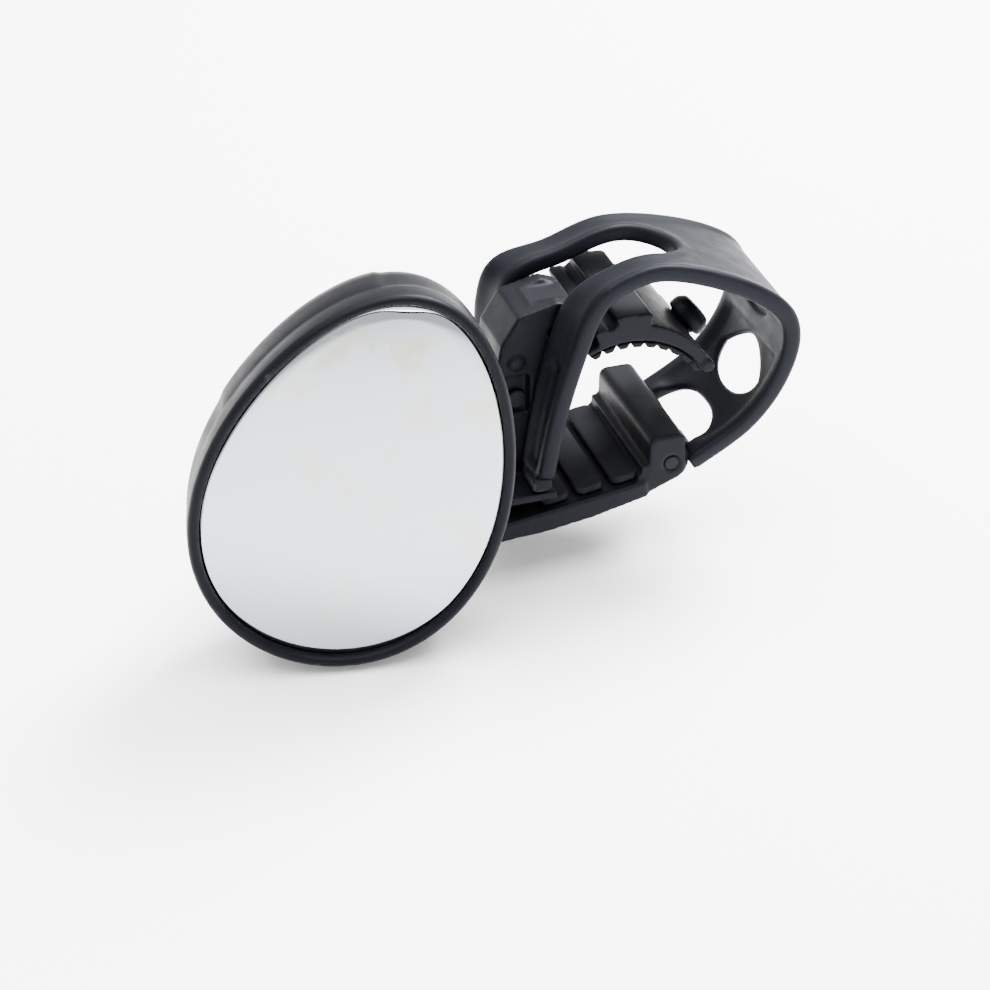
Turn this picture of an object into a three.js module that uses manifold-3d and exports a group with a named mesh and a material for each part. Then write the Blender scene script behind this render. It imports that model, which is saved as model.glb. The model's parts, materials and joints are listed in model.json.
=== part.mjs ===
// Egg-shaped convex bicycle mirror on a ball joint, held to a tube by a toothed jaw and an elastomer strap.
//
// Millimetres, +Z up. The origin is the axis of the tube that the clamp holds, half way along the strap's
// width. The tube runs along Y, the jaw is above it, the strap closes the clamp on +X, and the mirror
// head stands on the -X side and faces -Y.

import * as THREE from "three";
import { mergeVertices } from "three/addons/utils/BufferGeometryUtils.js";
import Module from "manifold-3d";

const wasm = await Module();
wasm.setup();

// ---------------------------------------------------------------- driving dimensions

const GAP = 0.3; // air left between two pieces that touch
const HALF_WIDTH = 11; // half of the strap and of the clamp, along the tube

// mirror head, in its own frame: +Z out of the glass, +X towards the narrow end, origin at the ball
const GLASS_LENGTH = 52.4;
const GLASS_WIDTH = 38.5;
const EGG_TAPER = 0.17; // how much narrower one end of the egg is
const GLASS_CURVE_RADIUS = 190; // convex mirror
const GLASS_THICKNESS = 1.6;
const BEZEL_WIDTH = 1.8;
const BEZEL_FRONT = 10.2; // bezel's front above the ball's centre
const GLASS_EDGE_FRONT = 8.9;
const HOUSING_BACK = -4.6;
const HOUSING_WALL = 2; // inner face of the side wall inside the bezel's outline
const HOUSING_FLOOR = -3;
const LEDGE_FRONT = GLASS_EDGE_FRONT - GLASS_THICKNESS - GAP - 0.8; // the lens tape lies on this ledge
const HEAD_AZIMUTH = THREE.MathUtils.degToRad(-9); // where the glass looks, from -Y towards -X
const HEAD_ELEVATION = THREE.MathUtils.degToRad(6);
const HEAD_ROLL = THREE.MathUtils.degToRad(68.4); // long axis above the horizontal
const BALL_CENTRE = new THREE.Vector3(-39.9, -10.7, 3.4);

// ball joint
const BALL_RADIUS = 5;
const SHELL_CLEARANCE = 0.2; // between the ball, its two friction shells and the socket
const SHELL_THICKNESS = 0.6;
const SOCKET_RADIUS = BALL_RADIUS + 3 * SHELL_CLEARANCE + 2 * SHELL_THICKNESS;
const SOCKET_OUTER = SOCKET_RADIUS + 1.2;
const MOUTH_ANGLE = THREE.MathUtils.degToRad(54); // half angle of the opening that the neck tilts in
const NECK_RADIUS = 2.4;
const STUD_FLANGE_FRONT = -12.2;
const STUD_FLANGE_BACK = -13.7;
const STUD_FLANGE_RADIUS = 5.2;
const STUD_SHANK_RADIUS = 3;
const STUD_SHANK_END = -17;
const ARM_PAD_FRONT = STUD_FLANGE_BACK - GAP;
const ARM_PAD_BACK = -17.8;
const ARM_PAD_RADIUS = 6.8;
const SOCKET_SCREW_CIRCLE = 11;
const SOCKET_SCREWS = 3;
const SOCKET_FLANGE_RADIUS = 14;

// clamp base
const PLATE_THICKNESS = 2.6;
const PLATE_LEFT = new THREE.Vector2(-20.5, -15.6); // lower left corner of the base plate
const PLATE_RIGHT = new THREE.Vector2(3.2, -12.2);
const PLATE_BELLY = [
  [-12, -15.1],
  [-5.1, -14.1],
]; // the underside sags a little between its corners
const CORE_HALF = 4.7; // half thickness of the wall between the strap's legs
const FORK_LEFT = -11.4; // the slot in the wall's top, where the jaw's eye turns
const FORK_RIGHT = -3;
const FORK_BOTTOM = 9.4;
const FORK_TOP = 20;
const LEDGE_LEFT = -18.2;
const LEDGE_RIGHT = -10.4;
const LEDGE_TOP = -8.6;
const LEDGE_THICKNESS = 1.2;
const SIDE_SCREW = new THREE.Vector2(-14.4, 3.6);
const SIDE_SCREW_RADIUS = 0.6;
const SIDE_RECESS = { x0: -16.4, x1: -12.6, z0: 1.4, z1: 7.4, depth: 1 };
const ARM_LINE = [
  [-12, 0],
  [-17.5, 0.6],
  [-24, 3.2],
  [-31, 4.9],
  [-37.4, 4.9],
]; // in XY, from the wall to the pad behind the mirror head
const ARM_HALF_THICKNESS = 2;
const ARM_BOTTOM = -6;
const ARM_TOP = 5;
const PIN = new THREE.Vector2(6.8, -7.4); // strap hinge pin
const PIN_RADIUS = 1;
const PIN_BORE = PIN_RADIUS + GAP;
const KNUCKLE_RADIUS = 2.8;
const KNUCKLE_INNER_Y = 3.8; // each strap knuckle lies between these two, on both sides of the middle
const KNUCKLE_OUTER_Y = 8.2;
const BAR_LEFT = 3.4;
const BAR_RIGHT = 8.9;
const BAR_TOP = -2.9;
const BAR_CORNER = 1.2;
const PAD_HEIGHT = 1.2;
const PAD_START = 8.8; // first pad's left side, along the plate
const PAD_PITCH = 5.2;
const PAD_WIDTH = 4.2;
const PAD_COUNT = 3;
const PAD_HALF_LENGTH = 10;

// toothed jaw, an arch about the tube's axis
const JAW_PAD_INNER = 12.3;
const JAW_INNER = 13.1;
const JAW_OUTER = 16.2;
const JAW_TIP_OUTER = 14.6;
const JAW_CREST = 17.3; // a raised block on the arch, near its root
const JAW_CREST_START = THREE.MathUtils.degToRad(96);
const JAW_CREST_END = THREE.MathUtils.degToRad(78);
const JAW_GROOVE = THREE.MathUtils.degToRad(99);
const JAW_LIP_START = THREE.MathUtils.degToRad(116); // the thin lip beside the wall, from +X towards +Z
const JAW_LIP_THICKNESS = 0.8;
const JAW_START = THREE.MathUtils.degToRad(108); // root end of the wide arch
const JAW_END = THREE.MathUtils.degToRad(30);
const JAW_HALF = 10;
const TOOTH_COUNT = 9;
const TOOTH_HEIGHT = 0.7;
const JAW_PIN = new THREE.Vector2(-8.6, 13.4);
const JAW_EYE_RADIUS = 2.3;
const JAW_EYE_HALF = 2.2;
const PEG_ANGLE = THREE.MathUtils.degToRad(38);
const PEG_STEM_RADIUS = 2.1;
const PEG_PROFILE = [
  [0, JAW_INNER + GAP],
  [PEG_STEM_RADIUS, JAW_INNER + GAP],
  [PEG_STEM_RADIUS, 15],
  [3.1, 15.3],
  [3.1, 16.8],
  [2.2, 17.9],
  [0, 18.1],
]; // [radius, distance from the tube's axis]

// strap
const STRAP_THICKNESS = 2.6;
const LEG_INNER_Y = 5.3; // the slot's half width
const BEND = new THREE.Vector2(24.9, 5.8); // the strap folds open here, on its outer face
const SLOT_END_X = 9.8;

const BLACK = 0x25272b;
const DARK_PIN = 0x2c2e31;

// ---------------------------------------------------------------- helpers

/** A closed geometry as a manifold solid. */
function solid(geometry) {
  const loose = geometry.index ? geometry.toNonIndexed() : geometry.clone();
  loose.deleteAttribute("normal");
  loose.deleteAttribute("uv");
  const merged = mergeVertices(loose, 1e-4);
  return new wasm.Manifold(
    new wasm.Mesh({
      numProp: 3,
      vertProperties: merged.attributes.position.array,
      triVerts: new Uint32Array(merged.index.array),
    }),
  );
}

/** A manifold solid as a three.js geometry. */
function geometryOf(body) {
  const mesh = body.getMesh();
  const positions = new Float32Array(mesh.numVert * 3);
  for (let i = 0; i < mesh.numVert; i++) {
    positions.set(mesh.vertProperties.subarray(i * mesh.numProp, i * mesh.numProp + 3), i * 3);
  }
  const geometry = new THREE.BufferGeometry();
  geometry.setAttribute("position", new THREE.BufferAttribute(positions, 3));
  geometry.setIndex(new THREE.BufferAttribute(new Uint32Array(mesh.triVerts), 1));
  geometry.computeVertexNormals();
  return geometry;
}

function joined(solids) {
  return solids.reduce((all, one) => all.add(one));
}

/** A named mesh with a material of its own. */
function piece(name, body, colour, roughness, metalness = 0) {
  const material = new THREE.MeshStandardMaterial({ color: colour, roughness, metalness });
  const mesh = new THREE.Mesh(geometryOf(body), material);
  mesh.name = name;
  return mesh;
}

/** An outline in the XZ plane, extruded from y0 to y1. */
function extrudeY(outline, y0, y1) {
  const geometry = new THREE.ExtrudeGeometry(outline, {
    depth: y1 - y0,
    bevelEnabled: false,
    curveSegments: 10,
  });
  geometry.rotateX(Math.PI / 2);
  geometry.translate(0, y1, 0);
  return solid(geometry);
}

function polygon(points) {
  return new THREE.Shape(points.map(([x, z]) => new THREE.Vector2(x, z)));
}

function box(x0, x1, y0, y1, z0, z1) {
  const geometry = new THREE.BoxGeometry(x1 - x0, y1 - y0, z1 - z0);
  geometry.translate((x0 + x1) / 2, (y0 + y1) / 2, (z0 + z1) / 2);
  return solid(geometry);
}

/** A cylinder along Y through (x, z). */
function rodY(centre, radius, y0, y1, sides = 16) {
  const geometry = new THREE.CylinderGeometry(radius, radius, y1 - y0, sides);
  geometry.translate(centre.x, (y0 + y1) / 2, centre.y);
  return solid(geometry);
}

/** The two numbers side * a and side * b, the smaller first. */
function span(side, a, b) {
  return side < 0 ? [-b, -a] : [a, b];
}

/** A cylinder along Z through (x, y). */
function rodZ(x, y, radius, z0, z1, sides = 16) {
  const geometry = new THREE.CylinderGeometry(radius, radius, z1 - z0, sides);
  geometry.rotateX(Math.PI / 2);
  geometry.translate(x, y, (z0 + z1) / 2);
  return solid(geometry);
}

/** A profile of [radius, z] points turned about Z; it starts and ends on the axis, or closes on itself. */
function turned(profile, sides = 24) {
  const geometry = new THREE.LatheGeometry(
    profile.map(([r, z]) => new THREE.Vector2(r, z)),
    sides,
  );
  geometry.rotateX(Math.PI / 2);
  const made = solid(geometry);
  if (made.volume() > 0) return made;
  return turned([...profile].reverse(), sides);
}

/** Points of a circular arc in a [radius, z] profile; angles are measured from -Z. */
function arcProfile(radius, from, to, steps) {
  return Array.from({ length: steps + 1 }, (_, i) => {
    const angle = from + ((to - from) * i) / steps;
    return [radius * Math.sin(angle), -radius * Math.cos(angle)];
  });
}

/** The outline of a band of even thickness along a smooth centre line through the points. */
function band(points, thickness, steps) {
  const line = new THREE.SplineCurve(points.map(([x, z]) => new THREE.Vector2(x, z)));
  const left = [];
  const right = [];
  for (let i = 0; i <= steps; i++) {
    const centre = line.getPointAt(i / steps);
    const along = line.getTangentAt(i / steps);
    const across = new THREE.Vector2(-along.y, along.x).multiplyScalar(thickness / 2);
    left.push(centre.clone().add(across));
    right.push(centre.clone().sub(across));
  }
  return new THREE.Shape([...left, ...right.reverse()]);
}

// ---------------------------------------------------------------- the egg outline

const EGG_POINTS = 40;

/** A point of the glass outline, scaled about the middle and then grown outwards. */
function eggPoint(angle, scale = 1, grow = 0) {
  const half = { x: GLASS_LENGTH / 2, y: GLASS_WIDTH / 2 };
  const taper = 1 - EGG_TAPER * Math.cos(angle);
  const x = half.x * Math.cos(angle);
  const y = half.y * Math.sin(angle) * taper;
  const dx = -half.x * Math.sin(angle);
  const dy = half.y * (Math.cos(angle) * taper + EGG_TAPER * Math.sin(angle) ** 2);
  const length = Math.hypot(dx, dy);
  return [x * scale + (grow * dy) / length, y * scale - (grow * dx) / length];
}

/** A closed solid skinned over egg rings, from the back middle to the front middle. */
function eggLoft(rings) {
  const positions = [];
  const height = (ring, x, y) => (typeof ring.z === "function" ? ring.z(x, y) : ring.z);
  positions.push(0, 0, height(rings[0], 0, 0));
  for (const ring of rings) {
    for (let i = 0; i < EGG_POINTS; i++) {
      const [x, y] = eggPoint((2 * Math.PI * i) / EGG_POINTS, ring.scale ?? 1, ring.grow ?? 0);
      positions.push(x, y, height(ring, x, y));
    }
  }
  const last = positions.length / 3;
  positions.push(0, 0, height(rings[rings.length - 1], 0, 0));
  const index = [];
  for (let i = 0; i < EGG_POINTS; i++) {
    const j = (i + 1) % EGG_POINTS;
    index.push(0, 1 + j, 1 + i);
    for (let k = 0; k < rings.length - 1; k++) {
      const a = 1 + k * EGG_POINTS;
      const b = a + EGG_POINTS;
      index.push(a + i, a + j, b + i, a + j, b + j, b + i);
    }
    const top = 1 + (rings.length - 1) * EGG_POINTS;
    index.push(last, top + i, top + j);
  }
  const geometry = new THREE.BufferGeometry();
  geometry.setAttribute("position", new THREE.Float32BufferAttribute(positions, 3));
  geometry.setIndex(index);
  return solid(geometry);
}

/** Height of the convex glass above its edge plane. */
function dome(x, y) {
  const edge = GLASS_LENGTH / 2;
  const drop = (r2) => GLASS_CURVE_RADIUS - Math.sqrt(GLASS_CURVE_RADIUS ** 2 - r2);
  return drop(edge ** 2) - drop(x * x + y * y);
}

// ---------------------------------------------------------------- mirror head

function socketScrewPlaces() {
  return Array.from({ length: SOCKET_SCREWS }, (_, i) => {
    const angle = (2 * Math.PI * i) / SOCKET_SCREWS + Math.PI / 6;
    return [SOCKET_SCREW_CIRCLE * Math.cos(angle), SOCKET_SCREW_CIRCLE * Math.sin(angle)];
  });
}

function headHousing() {
  const outer = eggLoft([
    { scale: 0.8, z: HOUSING_BACK },
    { scale: 0.93, z: HOUSING_BACK + 0.4 },
    { grow: -0.2, z: HOUSING_BACK + 1.5 },
    { grow: BEZEL_WIDTH - 0.6, z: -1 },
    { grow: BEZEL_WIDTH, z: 2 },
    { grow: BEZEL_WIDTH, z: BEZEL_FRONT - 1 },
    { grow: BEZEL_WIDTH - 0.5, z: BEZEL_FRONT },
  ]);
  const inner = eggLoft([
    { scale: 0.78, z: HOUSING_FLOOR },
    { scale: 0.88, z: HOUSING_FLOOR + 0.4 },
    { grow: -HOUSING_WALL, z: -0.6 },
    { grow: 0.5 - HOUSING_WALL, z: 3.2 },
    { grow: 0.5 - HOUSING_WALL, z: LEDGE_FRONT },
    { grow: GAP, z: LEDGE_FRONT },
    { grow: GAP, z: BEZEL_FRONT + 1 },
  ]);
  const mouth = rodZ(0, 0, SOCKET_OUTER + 2 * GAP, HOUSING_BACK - 1, HOUSING_FLOOR + 1, 32);
  const screwHoles = socketScrewPlaces().map(([x, y]) =>
    rodZ(x, y, 1.5, HOUSING_BACK - 1, HOUSING_FLOOR + 1, 12),
  );
  return outer.subtract(inner).subtract(joined([mouth, ...screwHoles]));
}

function lens() {
  const back = GLASS_EDGE_FRONT - GLASS_THICKNESS;
  const front = (x, y) => GLASS_EDGE_FRONT + dome(x, y);
  const rear = (x, y) => back + dome(x, y);
  const rings = [0.3, 0.7];
  return eggLoft([
    ...rings.map((scale) => ({ scale, z: rear })),
    { scale: 1, z: rear },
    { scale: 1, z: (x, y) => front(x, y) - 0.4 },
    { grow: -0.4, z: front },
    ...rings.reverse().map((scale) => ({ scale: scale * 0.98, z: front })),
  ]);
}

function lensTape() {
  const z0 = LEDGE_FRONT + GAP;
  const z1 = z0 + 0.5;
  const full = eggLoft([{ grow: -0.1, z: z0 }, { grow: -0.1, z: z1 }]);
  const hole = eggLoft([{ grow: -1.4, z: z0 - 1 }, { grow: -1.4, z: z1 + 1 }]);
  return full.subtract(hole);
}

/** Thin spherical shell round the ball, open towards the neck. */
function frictionShell(inner) {
  const steps = 8;
  const outer = inner + SHELL_THICKNESS;
  return turned([
    ...arcProfile(outer, MOUTH_ANGLE, Math.PI, steps),
    ...arcProfile(inner, Math.PI, MOUTH_ANGLE, steps),
    arcProfile(outer, MOUTH_ANGLE, Math.PI, 1)[0],
  ]);
}

function socketCup() {
  const ball = arcProfile(SOCKET_RADIUS, Math.PI / 2 + 0.03, Math.PI, 6);
  const [rimRadius, rimZ] = ball[0];
  const cup = turned([
    ...ball,
    ...arcProfile(SOCKET_OUTER, Math.PI, Math.PI / 2 + 0.22, 5),
    [SOCKET_FLANGE_RADIUS, 1.6],
    [SOCKET_FLANGE_RADIUS, rimZ],
    [rimRadius, rimZ],
  ]);
  const bosses = socketScrewPlaces().map(([x, y]) => rodZ(x, y, 2.7, 0.4, 3.6, 16));
  const holes = socketScrewPlaces().map(([x, y]) => rodZ(x, y, 1.5, -1, 3, 12));
  return joined([cup, ...bosses]).subtract(joined(holes));
}

function socketRing() {
  const ball = arcProfile(SOCKET_RADIUS, MOUTH_ANGLE, Math.PI / 2 - 0.03, 4);
  const [rimRadius, rimZ] = ball[ball.length - 1];
  const lip = -4.4;
  const ring = turned([
    ...ball,
    [SOCKET_FLANGE_RADIUS, rimZ],
    [SOCKET_FLANGE_RADIUS, HOUSING_FLOOR + GAP],
    [SOCKET_OUTER, HOUSING_FLOOR + GAP],
    [SOCKET_OUTER, lip],
    [ball[0][0] + 0.4, lip],
    ball[0],
  ]);
  const holes = socketScrewPlaces().map(([x, y]) => rodZ(x, y, 1.5, -4, rimRadius, 12));
  return ring.subtract(joined(holes));
}

function backCover() {
  const z = HOUSING_BACK - GAP;
  return turned([
    [7.4, z - 3],
    [12, z - 3],
    [15.4, z - 1.9],
    [16.4, z],
    [15, z],
    [14.4, z - 1.1],
    [11.6, z - 1.8],
    [7.4, z - 1.8],
    [7.4, z - 3],
  ]);
}

function socketScrew([x, y]) {
  const head = HOUSING_BACK - GAP;
  const screw = rodZ(x, y, 1.2, head, 2.6, 12).add(rodZ(x, y, 2, head - 1.1, head, 16));
  const slot = box(x - 1.4, x + 1.4, y - 0.3, y + 0.3, head - 1.6, head - 0.6);
  return screw.subtract(slot);
}

// ---------------------------------------------------------------- ball stud

function ballStud() {
  const neckAngle = Math.asin(NECK_RADIUS / BALL_RADIUS);
  const stud = turned([
    [0, STUD_SHANK_END],
    [STUD_SHANK_RADIUS, STUD_SHANK_END],
    [STUD_SHANK_RADIUS, STUD_FLANGE_BACK],
    [STUD_FLANGE_RADIUS, STUD_FLANGE_BACK],
    [STUD_FLANGE_RADIUS, STUD_FLANGE_FRONT],
    [NECK_RADIUS + 0.6, STUD_FLANGE_FRONT],
    [NECK_RADIUS, STUD_FLANGE_FRONT + 1.4],
    ...arcProfile(BALL_RADIUS, neckAngle, Math.PI, 9),
  ]);
  return stud.subtract(rodZ(0, 0, 1.7, STUD_SHANK_END - 1, STUD_SHANK_END + 6, 16));
}

function studWasher() {
  const front = ARM_PAD_BACK - GAP;
  return turned([
    [1.8, front - 0.6],
    [4.6, front - 0.6],
    [4.6, front],
    [1.8, front],
    [1.8, front - 0.6],
  ]);
}

function studScrew() {
  const seat = ARM_PAD_BACK - 2 * GAP - 0.6;
  const screw = turned([
    [0, seat - 1.8],
    [2.6, seat - 1.8],
    [3.4, seat - 0.9],
    [3.4, seat],
    [1.4, seat],
    [1.4, STUD_SHANK_END + 5.4],
    [0, STUD_SHANK_END + 5.4],
  ]);
  const across = [0, Math.PI / 2].map((turn) => {
    const geometry = new THREE.BoxGeometry(3.6, 0.8, 2.4);
    geometry.rotateZ(turn);
    geometry.translate(0, 0, seat - 1.9);
    return solid(geometry);
  });
  return screw.subtract(joined(across));
}

// ---------------------------------------------------------------- clamp base

const PLATE_SLOPE = Math.atan2(PLATE_RIGHT.y - PLATE_LEFT.y, PLATE_RIGHT.x - PLATE_LEFT.x);

/** Moves a solid laid out along the base plate's top face into place: x along the plate, z out of it. */
function onPlate(body) {
  const top = PLATE_LEFT.clone().add(
    new THREE.Vector2(-Math.sin(PLATE_SLOPE), Math.cos(PLATE_SLOPE)).multiplyScalar(PLATE_THICKNESS),
  );
  return body
    .rotate([0, THREE.MathUtils.radToDeg(-PLATE_SLOPE), 0])
    .translate([top.x, 0, top.y]);
}

/** The bar across the plate's end: a flat-sided block with a round top, which holds the hinge pin. */
function hingeBar() {
  const radius = BAR_CORNER;
  const outline = new THREE.Shape();
  outline.moveTo(BAR_LEFT, PLATE_RIGHT.y + 0.4);
  outline.lineTo(PIN.x + 1.2, PIN.y - 2.6);
  outline.lineTo(BAR_RIGHT, PIN.y - 1.8);
  outline.lineTo(BAR_RIGHT, BAR_TOP - radius);
  outline.absarc(BAR_RIGHT - radius, BAR_TOP - radius, radius, 0, Math.PI / 2, false);
  outline.absarc(BAR_LEFT + radius, BAR_TOP - radius, radius, Math.PI / 2, Math.PI, false);
  const bar = extrudeY(outline, -HALF_WIDTH + GAP, HALF_WIDTH - GAP);
  const foot = box(BAR_LEFT - 0.8, BAR_LEFT + 1, -HALF_WIDTH + GAP, HALF_WIDTH - GAP, -11.6, -9.9);
  const notches = [-1, 1].map((side) => {
    const [y0, y1] = span(side, KNUCKLE_INNER_Y - GAP, KNUCKLE_OUTER_Y + GAP);
    const reach = KNUCKLE_RADIUS + GAP;
    const below = box(PIN.x - 0.6, BAR_RIGHT + 1, y0, y1, PLATE_LEFT.y, PIN.y + reach);
    return rodY(PIN, reach, y0, y1, 28).add(below);
  });
  const bore = rodY(PIN, PIN_BORE, -HALF_WIDTH - 1, HALF_WIDTH + 1);
  return bar.add(foot).subtract(joined([...notches, bore]));
}

/** The wall between the strap's legs, which carries the jaw at its top and the arm on its left. */
function core() {
  const outline = polygon([
    [-17.6, -14.6],
    [-13.2, -14],
    [-12, 0],
    [-8.4, 8],
    [-6, 10.4],
    [-5.7, 17],
    [-8.5, 18],
    [-14.2, 16.6],
    [-16.8, 12.4],
    [-17.6, 6],
  ]);
  const wall = extrudeY(outline, -CORE_HALF, CORE_HALF);
  const forkHalf = JAW_EYE_HALF + GAP;
  const fork = box(FORK_LEFT, FORK_RIGHT, -forkHalf, forkHalf, FORK_BOTTOM, FORK_TOP);
  const recesses = [-1, 1].map((side) => {
    const { x0, x1, z0, z1, depth } = SIDE_RECESS;
    const [y0, y1] = span(side, CORE_HALF - depth, CORE_HALF + depth);
    return box(x0, x1, y0, y1, z0, z1);
  });
  const bore = rodY(JAW_PIN, PIN_BORE, -CORE_HALF - 1, CORE_HALF + 1);
  return wall.subtract(joined([fork, bore, ...recesses]));
}

function sideScrewBores() {
  return [-1, 1].map((side) =>
    rodY(SIDE_SCREW, SIDE_SCREW_RADIUS + GAP, ...span(side, 0.2 * CORE_HALF, CORE_HALF), 12),
  );
}

/** Ledges on both sides of the wall, where the strap's feet seat. */
function sideLedges() {
  return [-1, 1].map((side) => {
    const [y0, y1] = span(side, CORE_HALF - 0.5, HALF_WIDTH - 0.2);
    return box(LEDGE_LEFT, LEDGE_RIGHT, y0, y1, LEDGE_TOP - LEDGE_THICKNESS, LEDGE_TOP);
  });
}

/** The arm that runs from the wall to the pad behind the mirror head. */
function arm() {
  const geometry = new THREE.ExtrudeGeometry(band(ARM_LINE, 2 * ARM_HALF_THICKNESS, 14), {
    depth: ARM_TOP - ARM_BOTTOM,
    bevelEnabled: false,
  });
  geometry.translate(0, 0, ARM_BOTTOM);
  return solid(geometry);
}

function baseBody(headMatrix) {
  const across = new THREE.Vector2(-Math.sin(PLATE_SLOPE), Math.cos(PLATE_SLOPE)).multiplyScalar(
    PLATE_THICKNESS,
  );
  const plate = extrudeY(
    new THREE.Shape([
      PLATE_LEFT,
      ...PLATE_BELLY.map(([x, z]) => new THREE.Vector2(x, z)),
      PLATE_RIGHT,
      PLATE_RIGHT.clone().add(across),
      PLATE_LEFT.clone().add(across),
    ]),
    -HALF_WIDTH,
    HALF_WIDTH,
  );
  const pad = rodZ(0, 0, ARM_PAD_RADIUS, ARM_PAD_BACK, ARM_PAD_FRONT, 32).transform(headMatrix);
  const room = rodZ(0, 0, ARM_PAD_RADIUS + 1.2, ARM_PAD_FRONT, ARM_PAD_FRONT + 8, 32).transform(headMatrix);
  const behind = rodZ(0, 0, ARM_PAD_RADIUS + 1.2, ARM_PAD_BACK - 8, ARM_PAD_BACK, 32).transform(headMatrix);
  const bore = rodZ(0, 0, STUD_SHANK_RADIUS + GAP, ARM_PAD_BACK - 2, ARM_PAD_FRONT + 2, 24).transform(
    headMatrix,
  );
  return joined([plate, core(), ...sideLedges(), hingeBar()])
    .add(arm().subtract(room).subtract(behind).add(pad))
    .subtract(joined([bore, ...sideScrewBores()]));
}

function gripPad(index) {
  const start = PAD_START + index * PAD_PITCH;
  const outline = new THREE.Shape();
  const corner = 0.9;
  const left = start + corner;
  const right = start + PAD_WIDTH - corner;
  const end = PAD_HALF_LENGTH - corner;
  outline.absarc(left, -end, corner, Math.PI, 1.5 * Math.PI, false);
  outline.absarc(right, -end, corner, 1.5 * Math.PI, 2 * Math.PI, false);
  outline.absarc(right, end, corner, 0, Math.PI / 2, false);
  outline.absarc(left, end, corner, Math.PI / 2, Math.PI, false);
  const geometry = new THREE.ExtrudeGeometry(outline, {
    depth: PAD_HEIGHT,
    bevelEnabled: false,
    curveSegments: 4,
  });
  geometry.translate(0, 0, GAP);
  return onPlate(solid(geometry));
}

function sideScrew(side) {
  const seat = CORE_HALF - SIDE_RECESS.depth + GAP;
  return rodY(SIDE_SCREW, SIDE_SCREW_RADIUS, ...span(side, 1.4, seat), 12).add(
    rodY(SIDE_SCREW, 1.3, ...span(side, seat, CORE_HALF - 0.2), 16),
  );
}

// ---------------------------------------------------------------- toothed jaw

/** A sector of a ring about the tube's axis whose outer radius tapers from the root to the tip. */
function archOutline(inner, outerRoot, outerTip, start, end, steps) {
  const outer = [];
  const inside = [];
  for (let i = 0; i <= steps; i++) {
    const angle = start + ((end - start) * i) / steps;
    const radius = outerRoot + ((outerTip - outerRoot) * i) / steps;
    outer.push(new THREE.Vector2(radius * Math.cos(angle), radius * Math.sin(angle)));
    inside.push(new THREE.Vector2(inner * Math.cos(angle), inner * Math.sin(angle)));
  }
  return new THREE.Shape([...outer, ...inside.reverse()]);
}

/** The room that the jaw leaves for the wall, past the root end of its wide arch. */
function besideWall() {
  const half = CORE_HALF + GAP;
  const right = JAW_INNER * Math.cos(JAW_START) + GAP;
  return box(right - 12, right, -half, half, 0, FORK_TOP);
}

function saddleJaw() {
  const arch = extrudeY(
    archOutline(JAW_INNER, JAW_OUTER, JAW_TIP_OUTER, JAW_START, JAW_END, 16),
    -JAW_HALF,
    JAW_HALF,
  );
  const web = extrudeY(
    archOutline(JAW_INNER, JAW_OUTER, JAW_OUTER, JAW_START + 0.3, JAW_START - 0.2, 6),
    -JAW_EYE_HALF,
    JAW_EYE_HALF,
  );
  const crest = extrudeY(
    archOutline(JAW_INNER + 1, JAW_CREST, JAW_CREST, JAW_CREST_START, JAW_CREST_END, 4),
    -JAW_HALF,
    JAW_HALF,
  );
  const lipOuter = JAW_INNER + JAW_LIP_THICKNESS;
  const lip = extrudeY(
    archOutline(JAW_INNER, lipOuter, lipOuter, JAW_LIP_START, JAW_START - 0.05, 4),
    -JAW_HALF,
    JAW_HALF,
  ).subtract(besideWall());
  const eye = rodY(JAW_PIN, JAW_EYE_RADIUS, -JAW_EYE_HALF, JAW_EYE_HALF, 20);
  const groovePlace = new THREE.Vector2(Math.cos(JAW_GROOVE), Math.sin(JAW_GROOVE));
  const groove = rodY(groovePlace.multiplyScalar(JAW_OUTER), 0.6, -HALF_WIDTH, HALF_WIDTH, 8);
  const pegHole = pegPlaced(rodZ(0, 0, PEG_STEM_RADIUS + GAP, JAW_PAD_INNER, JAW_OUTER + 1, 16));
  const bore = rodY(JAW_PIN, PIN_BORE, -CORE_HALF, CORE_HALF);
  return joined([arch, web, crest, lip, eye]).subtract(joined([bore, pegHole, groove]));
}

/** The jaw's elastomer lining, with rounded teeth across the tube. */
function jawPad() {
  const outer = JAW_INNER - GAP;
  const start = JAW_LIP_START - 0.02;
  const outline = [];
  const steps = TOOTH_COUNT * 4;
  for (let i = 0; i <= steps; i++) {
    const angle = start + ((JAW_END - start) * i) / steps;
    const tooth = Math.abs(Math.sin((Math.PI * TOOTH_COUNT * i) / steps));
    const radius = JAW_PAD_INNER - TOOTH_HEIGHT * tooth + 0.2;
    outline.push(new THREE.Vector2(radius * Math.cos(angle), radius * Math.sin(angle)));
  }
  for (let i = 12; i >= 0; i--) {
    const angle = start + ((JAW_END - start) * i) / 12;
    outline.push(new THREE.Vector2(outer * Math.cos(angle), outer * Math.sin(angle)));
  }
  const lining = extrudeY(new THREE.Shape(outline), -JAW_HALF + 0.2, JAW_HALF - 0.2);
  return lining.subtract(besideWall());
}

/** Turns a solid built along +Z so that it stands out of the jaw where the strap's holes hook on. */
function pegPlaced(body) {
  return body.rotate([0, 90 - THREE.MathUtils.radToDeg(PEG_ANGLE), 0]);
}

function strapPeg() {
  return pegPlaced(turned(PEG_PROFILE, 24));
}

// ---------------------------------------------------------------- strap

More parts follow.
